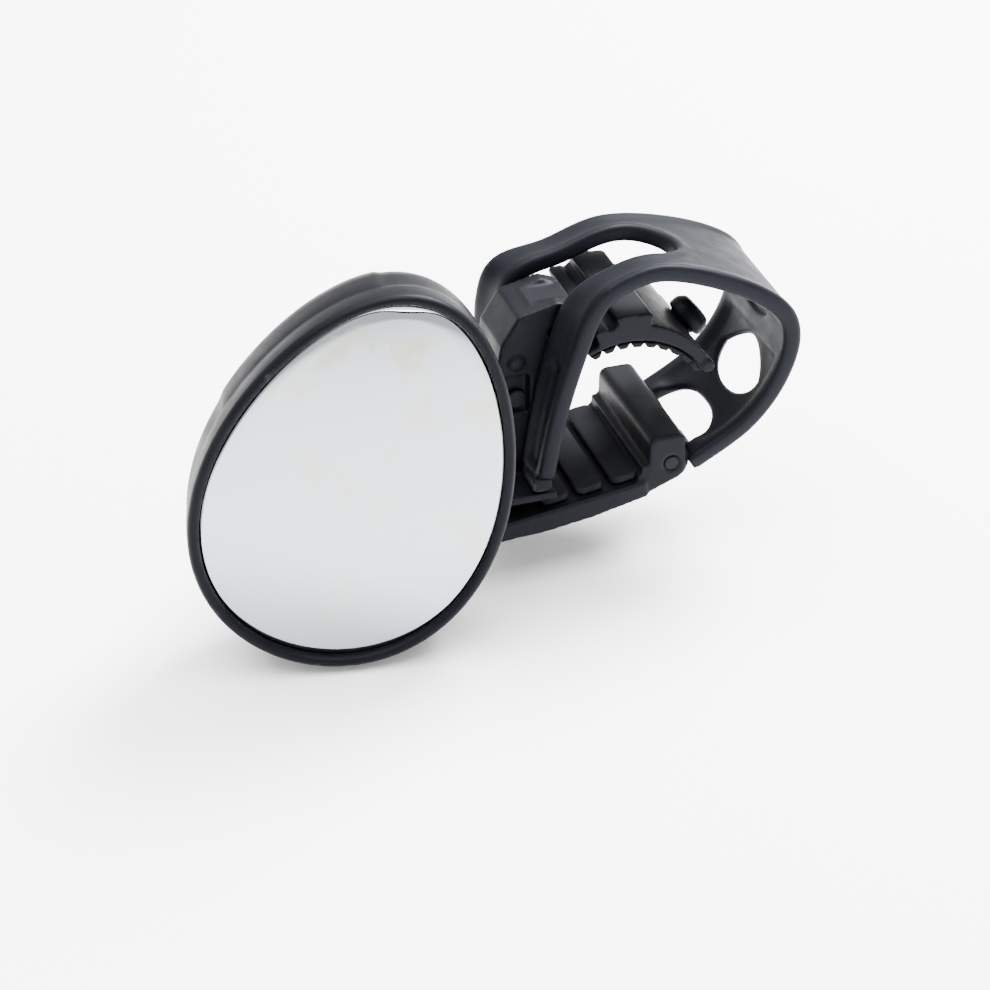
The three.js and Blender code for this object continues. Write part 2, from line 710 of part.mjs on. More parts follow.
// Centre lines of the strap's wall in XZ, from the hinge pin round to the feet. The front edge and the
// back edge share the right side; the wall between them is ruled, point to matching point.
const RIGHT_LINE = [
  [10.6, -7.75],
  [18, -3.1],
  [22.6, 3],
  [24.4, 9.8],
];
const FRONT_LINE = [
  ...RIGHT_LINE,
  [22.2, 14.9],
  [14.6, 20],
  [4.8, 23.4],
  [-1.9, 22],
  [-5, 18.9],
  [-7.3, 13],
  [-10.1, 3.5],
  [-12.1, -7],
];
const BACK_LINE = [
  ...RIGHT_LINE,
  [22.6, 15],
  [14.3, 19.4],
  [3.3, 21.1],
  [-5.4, 18.6],
  [-12.4, 17],
  [-14.5, 11.9],
  [-14.6, 3.5],
  [-15.3, -7],
];
const FOOT_RADIUS = 1.5;
const FOOT_FRONT_X = -12.6;
const FOOT_BACK_X = -14.9;

/** The strap's whole wall, ruled between the front line and the back line. */
function ruledWall(steps) {
  const corners = [];
  const lines = [FRONT_LINE, BACK_LINE].map(
    (points) => new THREE.SplineCurve(points.map(([x, z]) => new THREE.Vector2(x, z))),
  );
  for (let i = 0; i <= steps; i++) {
    lines.forEach((line, k) => {
      const centre = line.getPoint(i / steps);
      const along = line.getTangent(i / steps);
      const across = new THREE.Vector2(-along.y, along.x).multiplyScalar(STRAP_THICKNESS / 2);
      const y = k === 0 ? -HALF_WIDTH : HALF_WIDTH;
      corners.push(centre.x - across.x, y, centre.y - across.y);
      corners.push(centre.x + across.x, y, centre.y + across.y);
    });
  }
  const round = [0, 2, 3, 1]; // outer front, outer back, inner back, inner front
  const index = [];
  for (let i = 0; i < steps; i++) {
    round.forEach((a, k) => {
      const b = round[(k + 1) % 4];
      index.push(4 * i + a, 4 * i + b, 4 * i + 4 + a, 4 * i + b, 4 * i + 4 + b, 4 * i + 4 + a);
    });
  }
  const last = 4 * steps;
  index.push(0, 1, 3, 0, 3, 2, last, last + 3, last + 1, last, last + 2, last + 3);
  const geometry = new THREE.BufferGeometry();
  geometry.setAttribute("position", new THREE.Float32BufferAttribute(corners, 3));
  geometry.setIndex(index);
  return solid(geometry);
}

/** A rounded hole through the strap's wall: width along the tube, height along the wall. */
function wallHole({ at, slope, width, height }) {
  const depth = 10;
  const geometry = new THREE.CylinderGeometry(height / 2, height / 2, depth, 20);
  geometry.scale(1, 1, width / height);
  geometry.rotateZ(Math.PI / 2);
  geometry.rotateY(Math.PI / 2 - slope);
  geometry.translate(at[0], 0, at[1]);
  return solid(geometry);
}

const LOWER_HOLES = [
  { at: [12.8, -6.6], slope: 0.55, width: 14, height: 7.2 },
  { at: [20.9, -0.3], slope: 0.95, width: 14, height: 7.4 },
];
const UPPER_HOLE = { at: [24.2, 10.7], slope: 1.57, width: 12.4, height: 6.6 };
const STRAP_STEPS = 60;

/** Everything on the strap's hinge side of the bend, up to a level. */
function belowBend(top) {
  return box(BAR_LEFT + 1.6, BEND.x + 5, -HALF_WIDTH - 1, HALF_WIDTH + 1, PLATE_LEFT.y, top);
}

function strapLower() {
  const wall = ruledWall(STRAP_STEPS).intersect(belowBend(BEND.y - GAP / 2));
  const knuckles = [-1, 1].map((side) => {
    const [y0, y1] = span(side, KNUCKLE_INNER_Y, KNUCKLE_OUTER_Y);
    const tongue = band([[PIN.x, PIN.y - 1.4], [9, -8.5], [12, -7.1]], STRAP_THICKNESS, 6);
    return rodY(PIN, KNUCKLE_RADIUS, y0, y1, 24).add(extrudeY(tongue, y0, y1));
  });
  const bore = rodY(PIN, PIN_BORE, -HALF_WIDTH, HALF_WIDTH);
  return joined([wall, ...knuckles]).subtract(joined([bore, ...LOWER_HOLES.map(wallHole)]));
}

function strapUpper() {
  const roundEnd = SLOT_END_X - LEG_INNER_Y;
  const above = 28;
  const slot = joined([
    box(PLATE_LEFT.x, roundEnd, -LEG_INNER_Y, LEG_INNER_Y, PLATE_LEFT.y, above),
    rodZ(roundEnd, 0, LEG_INNER_Y, above / 2, above, 24),
    belowBend(BEND.y + GAP / 2),
    wallHole(UPPER_HOLE),
  ]);
  return ruledWall(STRAP_STEPS).subtract(slot);
}

/** The rigid tip moulded on the end of a leg, whose centre line ends at x. */
function footTip(x, y0, y1) {
  const z = FRONT_LINE[FRONT_LINE.length - 1][1];
  const centre = new THREE.Vector2(x, z - GAP + 0.1);
  const tip = rodY(centre, FOOT_RADIUS, y0, y1, 16);
  return tip.intersect(box(x - 3, x + 3, y0 - 1, y1 + 1, LEDGE_TOP + GAP, z - GAP));
}

// ---------------------------------------------------------------- assembly

const headGroup = new THREE.Group();
headGroup.name = "head";
const facing = new THREE.Vector3(
  Math.sin(HEAD_AZIMUTH) * Math.cos(HEAD_ELEVATION),
  -Math.cos(HEAD_AZIMUTH) * Math.cos(HEAD_ELEVATION),
  Math.sin(HEAD_ELEVATION),
);
const level = new THREE.Vector3(Math.cos(HEAD_AZIMUTH), Math.sin(HEAD_AZIMUTH), 0);
const upright = facing.clone().cross(level);
const longAxis = level
  .clone()
  .multiplyScalar(Math.cos(HEAD_ROLL))
  .addScaledVector(upright, Math.sin(HEAD_ROLL));
const shortAxis = facing.clone().cross(longAxis);
const headMatrix = new THREE.Matrix4()
  .makeBasis(longAxis, shortAxis, facing)
  .setPosition(BALL_CENTRE);
headGroup.position.copy(BALL_CENTRE);
headGroup.quaternion.setFromRotationMatrix(headMatrix);

const innerShell = BALL_RADIUS + SHELL_CLEARANCE;
const outerShell = innerShell + SHELL_THICKNESS + SHELL_CLEARANCE;
headGroup.add(
  piece("mirror_lens", lens(), 0xd6dce0, 0.04, 1),
  piece("lens_tape", lensTape(), 0x1b1c1e, 0.9),
  piece("head_housing", headHousing(), BLACK, 0.5),
  piece("head_back_cover", backCover(), BLACK, 0.5),
  piece("socket_cup", socketCup(), 0x3a3c40, 0.45),
  piece("socket_ring", socketRing(), 0x303236, 0.45),
  piece("friction_shell_inner", frictionShell(innerShell), 0xb9b6ae, 0.4),
  piece("friction_shell_outer", frictionShell(outerShell), 0xb9b6ae, 0.4),
  piece("ball_stud", ballStud(), 0x2c2e31, 0.35),
  piece("stud_washer", studWasher(), 0x9a9c9f, 0.35, 1),
  piece("stud_screw", studScrew(), 0x8d9094, 0.35, 1),
  ...socketScrewPlaces().map((place, i) =>
    piece("socket_screw_" + (i + 1), socketScrew(place), 0x8d9094, 0.35, 1),
  ),
);

const clampGroup = new THREE.Group();
clampGroup.name = "clamp";
const pinEnd = HALF_WIDTH - GAP;
const footInner = LEG_INNER_Y + 0.2;
const footOuter = HALF_WIDTH - 0.2;
clampGroup.add(
  piece("base_body", baseBody(headMatrix.elements), BLACK, 0.55),
  piece("saddle_jaw", saddleJaw(), BLACK, 0.5),
  piece("jaw_pad", jawPad(), 0x2b2c2f, 0.8),
  piece("strap_peg", strapPeg(), BLACK, 0.5),
  piece("jaw_pin", rodY(JAW_PIN, PIN_RADIUS, -CORE_HALF + GAP, CORE_HALF - GAP), DARK_PIN, 0.4),
  piece("strap_pin", rodY(PIN, PIN_RADIUS, -pinEnd, pinEnd), DARK_PIN, 0.4),
  piece("strap_lower", strapLower(), 0x2a2c31, 0.7),
  piece("strap_upper", strapUpper(), 0x2a2c31, 0.7),
  piece("foot_tip_front", footTip(FOOT_FRONT_X, ...span(-1, footInner, footOuter)), BLACK, 0.5),
  piece("foot_tip_back", footTip(FOOT_BACK_X, ...span(1, footInner, footOuter)), BLACK, 0.5),
  piece("side_screw_front", sideScrew(-1), DARK_PIN, 0.4),
  piece("side_screw_back", sideScrew(1), DARK_PIN, 0.4),
  ...Array.from({ length: PAD_COUNT }, (_, i) =>
    piece("grip_pad_" + (i + 1), gripPad(i), 0x34363a, 0.8),
  ),
);

const mirror = new THREE.Group();
mirror.name = "bike_mirror";
mirror.add(headGroup, clampGroup);

export default mirror;
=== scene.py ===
"""Visual model of the egg-shaped bicycle mirror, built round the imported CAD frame."""

import json
import math

import bmesh
import bpy
import numpy as np
from mathutils import Matrix, Vector
from mathutils.geometry import delaunay_2d_cdt


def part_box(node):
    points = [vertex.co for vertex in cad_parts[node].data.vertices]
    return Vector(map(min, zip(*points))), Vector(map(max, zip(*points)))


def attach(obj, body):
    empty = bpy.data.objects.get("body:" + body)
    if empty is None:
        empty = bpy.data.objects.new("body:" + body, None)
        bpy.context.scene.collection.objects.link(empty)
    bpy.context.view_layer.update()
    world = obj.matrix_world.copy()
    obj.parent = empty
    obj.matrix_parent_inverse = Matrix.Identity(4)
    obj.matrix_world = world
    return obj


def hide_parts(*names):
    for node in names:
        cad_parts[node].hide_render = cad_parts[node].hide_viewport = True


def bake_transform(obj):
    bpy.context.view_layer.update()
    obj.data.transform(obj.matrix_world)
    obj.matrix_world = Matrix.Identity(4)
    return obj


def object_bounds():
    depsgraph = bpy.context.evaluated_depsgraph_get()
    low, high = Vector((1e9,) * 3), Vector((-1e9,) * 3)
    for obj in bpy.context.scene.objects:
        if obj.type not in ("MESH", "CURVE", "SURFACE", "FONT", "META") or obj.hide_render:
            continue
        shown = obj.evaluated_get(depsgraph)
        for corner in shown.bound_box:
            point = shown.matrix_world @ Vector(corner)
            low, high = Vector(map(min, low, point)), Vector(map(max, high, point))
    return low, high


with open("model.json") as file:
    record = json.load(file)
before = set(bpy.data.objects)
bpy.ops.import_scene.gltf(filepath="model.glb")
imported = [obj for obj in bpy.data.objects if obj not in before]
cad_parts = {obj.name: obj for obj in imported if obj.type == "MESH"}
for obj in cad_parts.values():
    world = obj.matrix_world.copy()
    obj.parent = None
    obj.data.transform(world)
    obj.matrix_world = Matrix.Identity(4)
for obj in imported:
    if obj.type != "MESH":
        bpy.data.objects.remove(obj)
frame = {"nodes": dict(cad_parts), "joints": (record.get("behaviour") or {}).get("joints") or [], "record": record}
cad_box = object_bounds()

MM = 0.001


# ---------------------------------------------------------------- camera, light and floor

VIEW_AZIMUTH = math.radians(-18.3)
VIEW_ELEVATION = math.radians(33.0)
VIEW_DISTANCE = 392.9 * MM
LENS = 100.0  # millimetres
SENSOR_WIDTH = 36  # millimetres
AIM = Vector((-17.09, -3.0, -12.65)) * MM
WORLD_STRENGTH = 1.7
# Places and sizes in metres, power in watts.
LIGHTS = {
    "key": {"place": (0.34, 0.22, 0.5), "target": (0, 0, 0), "size": (0.3, 0.3), "power": 26},
    "overhead": {"place": (-0.1, 0.0, 0.9), "target": (-0.05, 0, 0), "size": (1.2, 1.2), "power": 40},
}
FLOOR_GAP = 0.2 * MM
FLOOR_HALF = 3.0
FLOOR_COLOUR = (0.96, 0.96, 0.96, 1)
FLOOR_ROUGHNESS = 0.9


def view_axes():
    """Right, up and backward directions of the camera."""
    sin_a, cos_a = math.sin(VIEW_AZIMUTH), math.cos(VIEW_AZIMUTH)
    sin_e, cos_e = math.sin(VIEW_ELEVATION), math.cos(VIEW_ELEVATION)
    right = Vector((cos_a, sin_a, 0))
    back = Vector((sin_a * cos_e, -cos_a * cos_e, sin_e))
    return right, back.cross(right), back


def camera():
    right, up, back = view_axes()
    data = bpy.data.cameras.new("camera")
    data.lens = LENS
    data.sensor_width = SENSOR_WIDTH
    data.clip_start = 0.01
    made = bpy.data.objects.new("camera", data)
    axes = Matrix((right, up, back)).transposed().to_4x4()
    made.matrix_world = Matrix.Translation(AIM + back * VIEW_DISTANCE) @ axes
    bpy.context.collection.objects.link(made)
    bpy.context.scene.camera = made


def area_light(name, place, target, size, power):
    data = bpy.data.lights.new(name, "AREA")
    data.shape = "RECTANGLE"
    data.size, data.size_y = size
    data.energy = power
    made = bpy.data.objects.new(name, data)
    place, target = Vector(place), Vector(target)
    made.location = place
    made.rotation_euler = (place - target).to_track_quat("Z", "Y").to_euler()
    bpy.context.collection.objects.link(made)


def studio():
    world = bpy.data.worlds.new("studio")
    world.use_nodes = True
    background = world.node_tree.nodes["Background"]
    background.inputs["Color"].default_value = (1, 1, 1, 1)
    background.inputs["Strength"].default_value = WORLD_STRENGTH
    bpy.context.scene.world = world
    for name, light in LIGHTS.items():
        area_light(name, **light)
    z = cad_box[0][2] - FLOOR_GAP
    corners = [(x * FLOOR_HALF, y * FLOOR_HALF, z) for x, y in ((-1, -1), (1, -1), (1, 1), (-1, 1))]
    mesh = bpy.data.meshes.new("floor")
    mesh.from_pydata(corners, [], [(0, 1, 2, 3)])
    floor = bpy.data.objects.new("floor", mesh)
    bpy.context.collection.objects.link(floor)
    material, _, shader = new_material("floor")
    shader.inputs["Base Color"].default_value = FLOOR_COLOUR
    shader.inputs["Roughness"].default_value = FLOOR_ROUGHNESS
    mesh.materials.append(material)


# ---------------------------------------------------------------- materials

# Features per metre of the noise that varies a moulded surface.
BLOTCHES = 130
WEAR = 700
GLOSS_CHANGES = 260
MOULDED_SPECULAR = 0.07
MOULDED_TINT = (0.78, 0.84, 1, 1)

# Each moulded finish: its darkest and lightest colour, its roughness from and to, its grains per metre and
# their height in millimetres, and the colour of its rubbed edges.
MOULDED = {
    # The foam_tape finish also serves as the painted shade line beside the mirror's bevel highlight.
    "foam_tape": (
        (0.002, 0.002, 0.002), (0.005, 0.005, 0.005), (0.85, 0.98), 5200, 0.05, (0.03, 0.03, 0.03),
    ),
    "head_plastic": (
        (0.0022, 0.0022, 0.003), (0.0036, 0.0036, 0.0048), (0.4, 0.54), 6500, 0.012, (0.014, 0.014, 0.016),
    ),
    "base_plastic": (
        (0.002, 0.0021, 0.003), (0.0034, 0.0035, 0.0048), (0.42, 0.58), 5600, 0.014, (0.012, 0.0125, 0.015),
    ),
    "socket_plastic": (
        (0.008, 0.0083, 0.009), (0.013, 0.0135, 0.0145), (0.5, 0.7), 3800, 0.02, (0.08, 0.08, 0.08),
    ),
    "stud_plastic": (
        (0.0025, 0.0026, 0.003), (0.0045, 0.0046, 0.0052), (0.3, 0.5), 5200, 0.01, (0.02, 0.02, 0.02),
    ),
    "acetal": (
        (0.45, 0.44, 0.4), (0.55, 0.54, 0.5), (0.3, 0.45), 3000, 0.008, (0.6, 0.6, 0.56),
    ),
    "elastomer": (
        (0.0032, 0.0033, 0.0042), (0.0055, 0.0057, 0.007), (0.6, 0.78), 4200, 0.03, (0.02, 0.02, 0.022),
    ),
    "strap_elastomer": (
        (0.0026, 0.0029, 0.0042), (0.0044, 0.0048, 0.0066), (0.4, 0.56), 4600, 0.02, (0.014, 0.015, 0.018),
    ),
}
STEEL = (0.56, 0.57, 0.59)
CLEAN_MIRROR = (0.335, 0.372, 0.408)
SMUDGED_MIRROR = (0.37, 0.36, 0.29)


def new_material(name):
    """(material, node tree, Principled shader)"""
    material = bpy.data.materials.new(name)
    material.use_nodes = True
    tree = material.node_tree
    return material, tree, tree.nodes["Principled BSDF"]


def noise(tree, scale, detail=4.0, roughness=0.55, stretch=(1, 1, 1)):
    """Fac output of a noise texture in object space; scale is in features per metre."""
    place = tree.nodes.new("ShaderNodeTexCoord")
    mapping = tree.nodes.new("ShaderNodeMapping")
    mapping.inputs["Scale"].default_value = stretch
    texture = tree.nodes.new("ShaderNodeTexNoise")
    texture.inputs["Scale"].default_value = scale
    texture.inputs["Detail"].default_value = detail
    texture.inputs["Roughness"].default_value = roughness
    tree.links.new(place.outputs["Object"], mapping.inputs["Vector"])
    tree.links.new(mapping.outputs["Vector"], texture.inputs["Vector"])
    return texture.outputs["Fac"]


def ramp(tree, value, stops):
    """A colour ramp over the value between two stops, each (position, colour)."""
    node = tree.nodes.new("ShaderNodeValToRGB")
    for element, (position, colour) in zip(node.color_ramp.elements, stops):
        element.position = position
        element.color = (*colour, 1)
    tree.links.new(value, node.inputs["Fac"])
    return node.outputs["Color"]


def spread(tree, value, low, high, from_low=0.3, from_high=0.7):
    """The value from between from_low and from_high, moved to between low and high."""
    node = tree.nodes.new("ShaderNodeMapRange")
    node.inputs["From Min"].default_value = from_low
    node.inputs["From Max"].default_value = from_high
    node.inputs["To Min"].default_value = low
    node.inputs["To Max"].default_value = high
    tree.links.new(value, node.inputs["Value"])
    return node.outputs["Result"]


def mixed(tree, factor, a, b):
    """Colour a turning into colour b with the factor; each is a colour or a socket."""
    node = tree.nodes.new("ShaderNodeMix")
    node.data_type = "RGBA"
    tree.links.new(factor, node.inputs["Factor"])
    for socket, colour in ((node.inputs[6], a), (node.inputs[7], b)):
        if isinstance(colour, tuple):
            socket.default_value = (*colour, 1)
        else:
            tree.links.new(colour, socket)
    return node.outputs[2]


def bumped(tree, shader, height, distance):
    """Fine relief of this height in metres."""
    node = tree.nodes.new("ShaderNodeBump")
    node.inputs["Strength"].default_value = 1.0
    node.inputs["Distance"].default_value = distance
    tree.links.new(height, node.inputs["Height"])
    tree.links.new(node.outputs["Normal"], shader.inputs["Normal"])


def edge_wear(tree, scale):
    """High on convex edges, broken up by noise."""
    geometry = tree.nodes.new("ShaderNodeNewGeometry")
    edges = spread(tree, geometry.outputs["Pointiness"], 0, 1, 0.53, 0.62)
    broken = spread(tree, noise(tree, scale, 5), 0, 1, 0.42, 0.62)
    node = tree.nodes.new("ShaderNodeMath")
    node.operation = "MULTIPLY"
    tree.links.new(edges, node.inputs[0])
    tree.links.new(broken, node.inputs[1])
    return node.outputs["Value"]


def moulded(name, dark, light, roughness, grain, relief, worn):
    """Injection-moulded plastic or rubber: spark-eroded grain, faint blotches, rubbed edges."""
    material, tree, shader = new_material(name)
    blotches = ramp(tree, noise(tree, BLOTCHES, 5), [(0.35, dark), (0.68, light)])
    colour = mixed(tree, edge_wear(tree, WEAR), blotches, worn)
    tree.links.new(colour, shader.inputs["Base Color"])
    low, high = roughness
    gloss = spread(tree, noise(tree, GLOSS_CHANGES, 6, 0.65), low, high)
    tree.links.new(gloss, shader.inputs["Roughness"])
    shader.inputs["Specular IOR Level"].default_value = MOULDED_SPECULAR
    shader.inputs["Specular Tint"].default_value = MOULDED_TINT
    bumped(tree, shader, noise(tree, grain, 3, 0.6), relief * MM)
    return material


def metal(name, colour, low, high):
    """Plated steel with fine turning marks."""
    material, tree, shader = new_material(name)
    shader.inputs["Metallic"].default_value = 1.0
    tint = ramp(tree, noise(tree, 500, 4), [(0.3, tuple(c * 0.8 for c in colour)), (0.7, colour)])
    tree.links.new(tint, shader.inputs["Base Color"])
    tree.links.new(spread(tree, noise(tree, 1500, 4), low, high), shader.inputs["Roughness"])
    bumped(tree, shader, noise(tree, 2500, 2, 0.5, (1, 6, 1)), 0.006 * MM)
    return material


def silvered():
    """Convex mirror face: clean silver with faint beige smears that are a little rougher."""
    material, tree, shader = new_material("silvered_acrylic")
    shader.inputs["Metallic"].default_value = 1.0
    smears = spread(tree, noise(tree, 190, 8, 0.75), 0, 1, 0.46, 0.6)
    patches = spread(tree, noise(tree, 48, 3, 0.5), 0, 1, 0.47, 0.6)
    both = tree.nodes.new("ShaderNodeMath")
    both.operation = "MULTIPLY"
    tree.links.new(smears, both.inputs[0])
    tree.links.new(patches, both.inputs[1])
    fog = both.outputs["Value"]
    tree.links.new(mixed(tree, fog, CLEAN_MIRROR, SMUDGED_MIRROR), shader.inputs["Base Color"])
    tree.links.new(spread(tree, fog, 0.035, 0.22, 0, 0.8), shader.inputs["Roughness"])
    bumped(tree, shader, noise(tree, 40, 2, 0.4), 0.004 * MM)
    return material


def painted_highlight_bevel():
    """Near-white silver for the mirror's edge bevel: a painted highlight where the edge catches the light, laid
    over its real polished reflection.
    """
    material, tree, shader = new_material("bevel_painted_highlight")
    shader.inputs["Metallic"].default_value = 1.0
    tint = ramp(tree, noise(tree, 300, 3), [(0.3, (0.93, 0.94, 0.95)), (0.7, (1, 1, 1))])
    tree.links.new(tint, shader.inputs["Base Color"])
    tree.links.new(spread(tree, noise(tree, 900, 3), 0.05, 0.15), shader.inputs["Roughness"])
    return material


def materials():
    look = {"mirror": silvered(), "bevel": painted_highlight_bevel()}
    for name, finish in MOULDED.items():
        look[name] = moulded(name, *finish)
    look["steel"] = metal("plated_steel", STEEL, 0.22, 0.45)
    return look


# ---------------------------------------------------------------- mesh helpers

WELD = 0.002 * MM  # vertices nearer than this are one


def add_piece(name, vertices, faces, material, body, replaces=()):
    """A smooth mesh piece in the CAD's frame, attached to the body when one is given."""
    mesh = bpy.data.meshes.new(name)
    mesh.from_pydata([tuple(v) for v in vertices], [], [tuple(f) for f in faces])
    mesh.validate()
    made = bpy.data.objects.new(name, mesh)
    bpy.context.collection.objects.link(made)
    tidy_normals(mesh)
    mesh.shade_smooth()
    finishes = material if isinstance(material, list) else [material]
    for one in finishes:
        mesh.materials.append(one)
    if body:
        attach(made, body)
    if replaces:
        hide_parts(*replaces)
    return made


def tidy_normals(mesh):
    """Joins vertices that coincide and turns every face outwards."""
    work = bmesh.new()
    work.from_mesh(mesh)
    bmesh.ops.remove_doubles(work, verts=work.verts, dist=WELD)
    bmesh.ops.recalc_face_normals(work, faces=work.faces)
    work.to_mesh(mesh)
    work.free()


def skin(rings, closed=False):
    """Vertices and faces of a skin over rings of equal counts, capped unless it closes on itself."""
    count = len(rings[0])
    vertices = [point for ring in rings for point in ring]
    faces = []
    for k in range(len(rings) - (0 if closed else 1)):
        a, b = k * count, ((k + 1) % len(rings)) * count
        for i in range(count):
            j = (i + 1) % count
            faces.append((a + i, a + j, b + j, b + i))
    if not closed:
        faces.append(tuple(range(count))[::-1])
        faces.append(tuple(len(vertices) - count + i for i in range(count)))
    return vertices, faces


def lathe(profile, matrix, segments=96):
    """A closed [radius, z] profile in millimetres turned about the matrix's Z axis.

    Neighbouring points with radius 0 lie on the axis and get no face between them.
    """
    rings = []
    for k in range(segments):
        angle = 2 * math.pi * k / segments
        points = [Vector((r * math.cos(angle), r * math.sin(angle), z)) for r, z in profile]
        rings.append([matrix @ (point * MM) for point in points])
    count = len(profile)
    vertices = [point for ring in rings for point in ring]
    faces = []
    for k in range(segments):
        a, b = k * count, ((k + 1) % segments) * count
        for i in range(count):
            j = (i + 1) % count
            if profile[i][0] < 1e-6 and profile[j][0] < 1e-6:
                continue
            faces.append((a + i, b + i, b + j, a + j))
    return vertices, faces


def rounded(profile, radius=0.3, steps=4):
    """The closed profile with its corners rounded; points on the axis stay sharp."""
    out = []
    count = len(profile)
    for i, point in enumerate(profile):
        p = Vector(point)
        before, after = Vector(profile[i - 1]), Vector(profile[(i + 1) % count])
        if p.x < 1e-6:
            out.append(tuple(p))
            continue
        to_before, to_after = before - p, after - p
        cut = min(radius, 0.45 * to_before.length, 0.45 * to_after.length)
        start, end = p + to_before.normalized() * cut, p + to_after.normalized() * cut
        for k in range(steps + 1):
            t = k / steps
            q = start * (1 - t) ** 2 + p * (2 * t * (1 - t)) + end * t**2
            out.append((max(q.x, 0), q.y))
    return out


def inside(points, loops):
    """True where a 2D point lies inside the outline and outside its holes, by counting crossings."""
    result = np.zeros(len(points), bool)
    for loop in loops:
        a = np.asarray(loop)
        b = np.roll(a, -1, axis=0)
        for (ax, ay), (bx, by) in zip(a, b):
            crosses = (ay > points[:, 1]) != (by > points[:, 1])
            with np.errstate(divide="ignore", invalid="ignore"):
                x = ax + (points[:, 1] - ay) * (bx - ax) / (by - ay)
            result ^= crosses & (points[:, 0] < x)
    return result


def edge_distance(points, loops):
    """Distance of each 2D point from the nearest boundary."""
    best = np.full(len(points), np.inf)
    for loop in loops:
        a = np.asarray(loop)
        b = np.roll(a, -1, axis=0)
        for p, q in zip(a, b):
            d = q - p
            t = np.clip(((points - p) @ d) / max(d @ d, 1e-12), 0, 1)
            best = np.minimum(best, np.hypot(*(points - (p + t[:, None] * d)).T))
    return best


def resampled(loop, step):
    """The closed loop with points about a step apart, corners kept."""
    out = []
    for a, b in zip(loop, loop[1:] + loop[:1]):
        length = math.dist(a, b)
        pieces = max(1, round(length / step))
        for k in range(pieces):
            t = k / pieces
            out.append((a[0] + (b[0] - a[0]) * t, a[1] + (b[1] - a[1]) * t))
    return out


def inward(loop, distance, outline=True):
    """The loop's points moved to the material side; a loop that is no outline is a hole."""
    points = np.asarray(loop)
    following = np.roll(points, -1, axis=0)
    area = 0.5 * np.sum(points[:, 0] * following[:, 1] - following[:, 0] * points[:, 1])
    side = 1 if (area > 0) == outline else -1
    along = following - np.roll(points, 1, axis=0)
    along /= np.maximum(np.linalg.norm(along, axis=1), 1e-9)[:, None]
    normal = np.stack([-along[:, 1], along[:, 0]], -1) * side
    return points + normal * distance


def rounded_plate(loops, half, corner, place, spacing, relief=None, step=None):
    """A plate over a 2D outline with holes, with rounded edges.

    loops holds the outline first and then its holes, half is half the thickness, and corner is the radius
    of the edges. spacing is the distance between points inside and step the distance between those along
    the edges. place(u, v, n) puts a point of the plate into space, and relief(u, v, side) adds height to
    one face or the other.
    """
    step = step or spacing
    loops = [resampled(loop, step) for loop in loops]
    boundary = np.concatenate([np.asarray(loop) for loop in loops])
    layers = [boundary]
    arc_steps = 3
    for k in range(1, arc_steps + 1):
        depth = corner * (1 - math.cos(math.pi / 2 * k / arc_steps))
        for index, loop in enumerate(loops):
            ring = inward(loop, depth, index == 0)
            good = inside(ring, loops) & (edge_distance(ring, loops) > depth * 0.9)
            layers.append(ring[good])
    low, high = boundary.min(0), boundary.max(0)
    us = np.arange(low[0] + spacing / 2, high[0], spacing)
    vs = np.arange(low[1] + spacing / 2, high[1], spacing)
    grid = np.stack(np.meshgrid(us, vs), -1).reshape(-1, 2)
    grid = grid[inside(grid, loops)]
    layers.append(grid[edge_distance(grid, loops) > corner + 0.45 * spacing])
    points = np.concatenate(layers)
    edges, start = [], 0
    for loop in loops:
        edges += [(start + i, start + (i + 1) % len(loop)) for i in range(len(loop))]
        start += len(loop)
    found, _, triangles, _, _, _ = delaunay_2d_cdt([Vector(p) for p in points], edges, [], 0, 1e-5)
    flat = np.array([tuple(p) for p in found])
    triangles = np.array([tuple(t) for t in triangles])
    centres = flat[triangles].mean(1)
    triangles = triangles[inside(centres, loops)]
    distance = edge_distance(flat, loops)
    depth = np.clip(corner - distance, 0, corner)
    height = half - corner + np.sqrt(np.maximum(corner**2 - depth**2, 0))
    vertices = []
    for side in (1, -1):
        for (u, v), h in zip(flat, height):
            extra = relief(u, v, side) if relief else 0
            vertices.append(place(u, v, side * (h + extra)))
    count = len(flat)
    faces = [tuple(t) for t in triangles] + [tuple(count + t[::-1]) for t in triangles]
    used = {}
    for t in triangles:
        for a, b in ((t[0], t[1]), (t[1], t[2]), (t[2], t[0])):
            used[(a, b)] = used.get((a, b), 0) + 1
    for a, b in used:
        if (b, a) not in used:
            faces.append((b, a, count + a, count + b))
    return vertices, faces


def remeshed(name, node, shells, voxel, material, body):
    """One rounded solid over a CAD node and more closed shells, by a voxel remesh and smoothing."""
    work = bmesh.new()
    work.from_mesh(frame["nodes"][node].data)
    for vertices, faces in shells:
        made = [work.verts.new(v) for v in vertices]
        for face in faces:
            work.faces.new([made[i] for i in face])
    bmesh.ops.remove_doubles(work, verts=work.verts, dist=WELD)
    mesh = bpy.data.meshes.new(name)
    work.to_mesh(mesh)
    work.free()
    made = bpy.data.objects.new(name, mesh)
    bpy.context.collection.objects.link(made)
    remesh = made.modifiers.new("remesh", "REMESH")
    remesh.mode = "VOXEL"
    remesh.voxel_size = voxel
    remesh.use_smooth_shade = True
    smooth = made.modifiers.new("smooth", "SMOOTH")
    smooth.factor = 0.5
    smooth.iterations = 5
    depsgraph = bpy.context.evaluated_depsgraph_get()
    final = bpy.data.meshes.new_from_object(made.evaluated_get(depsgraph))
    made.modifiers.clear()
    made.data = final
    final.name = name
    bpy.data.meshes.remove(mesh)
    final.materials.clear()
    final.materials.append(material)
    final.shade_smooth()
    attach(made, body)
    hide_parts(node)


def box_shell(x0, x1, y0, y1, z0, z1):
    """A closed box between two corners in millimetres, for remeshed()."""
    corners = [Vector((x, y, z)) * MM for x in (x0, x1) for y in (y0, y1) for z in (z0, z1)]
    faces = [(0, 1, 3, 2), (4, 6, 7, 5), (0, 4, 5, 1), (2, 3, 7, 6), (0, 2, 6, 4), (1, 5, 7, 3)]
    return corners, faces


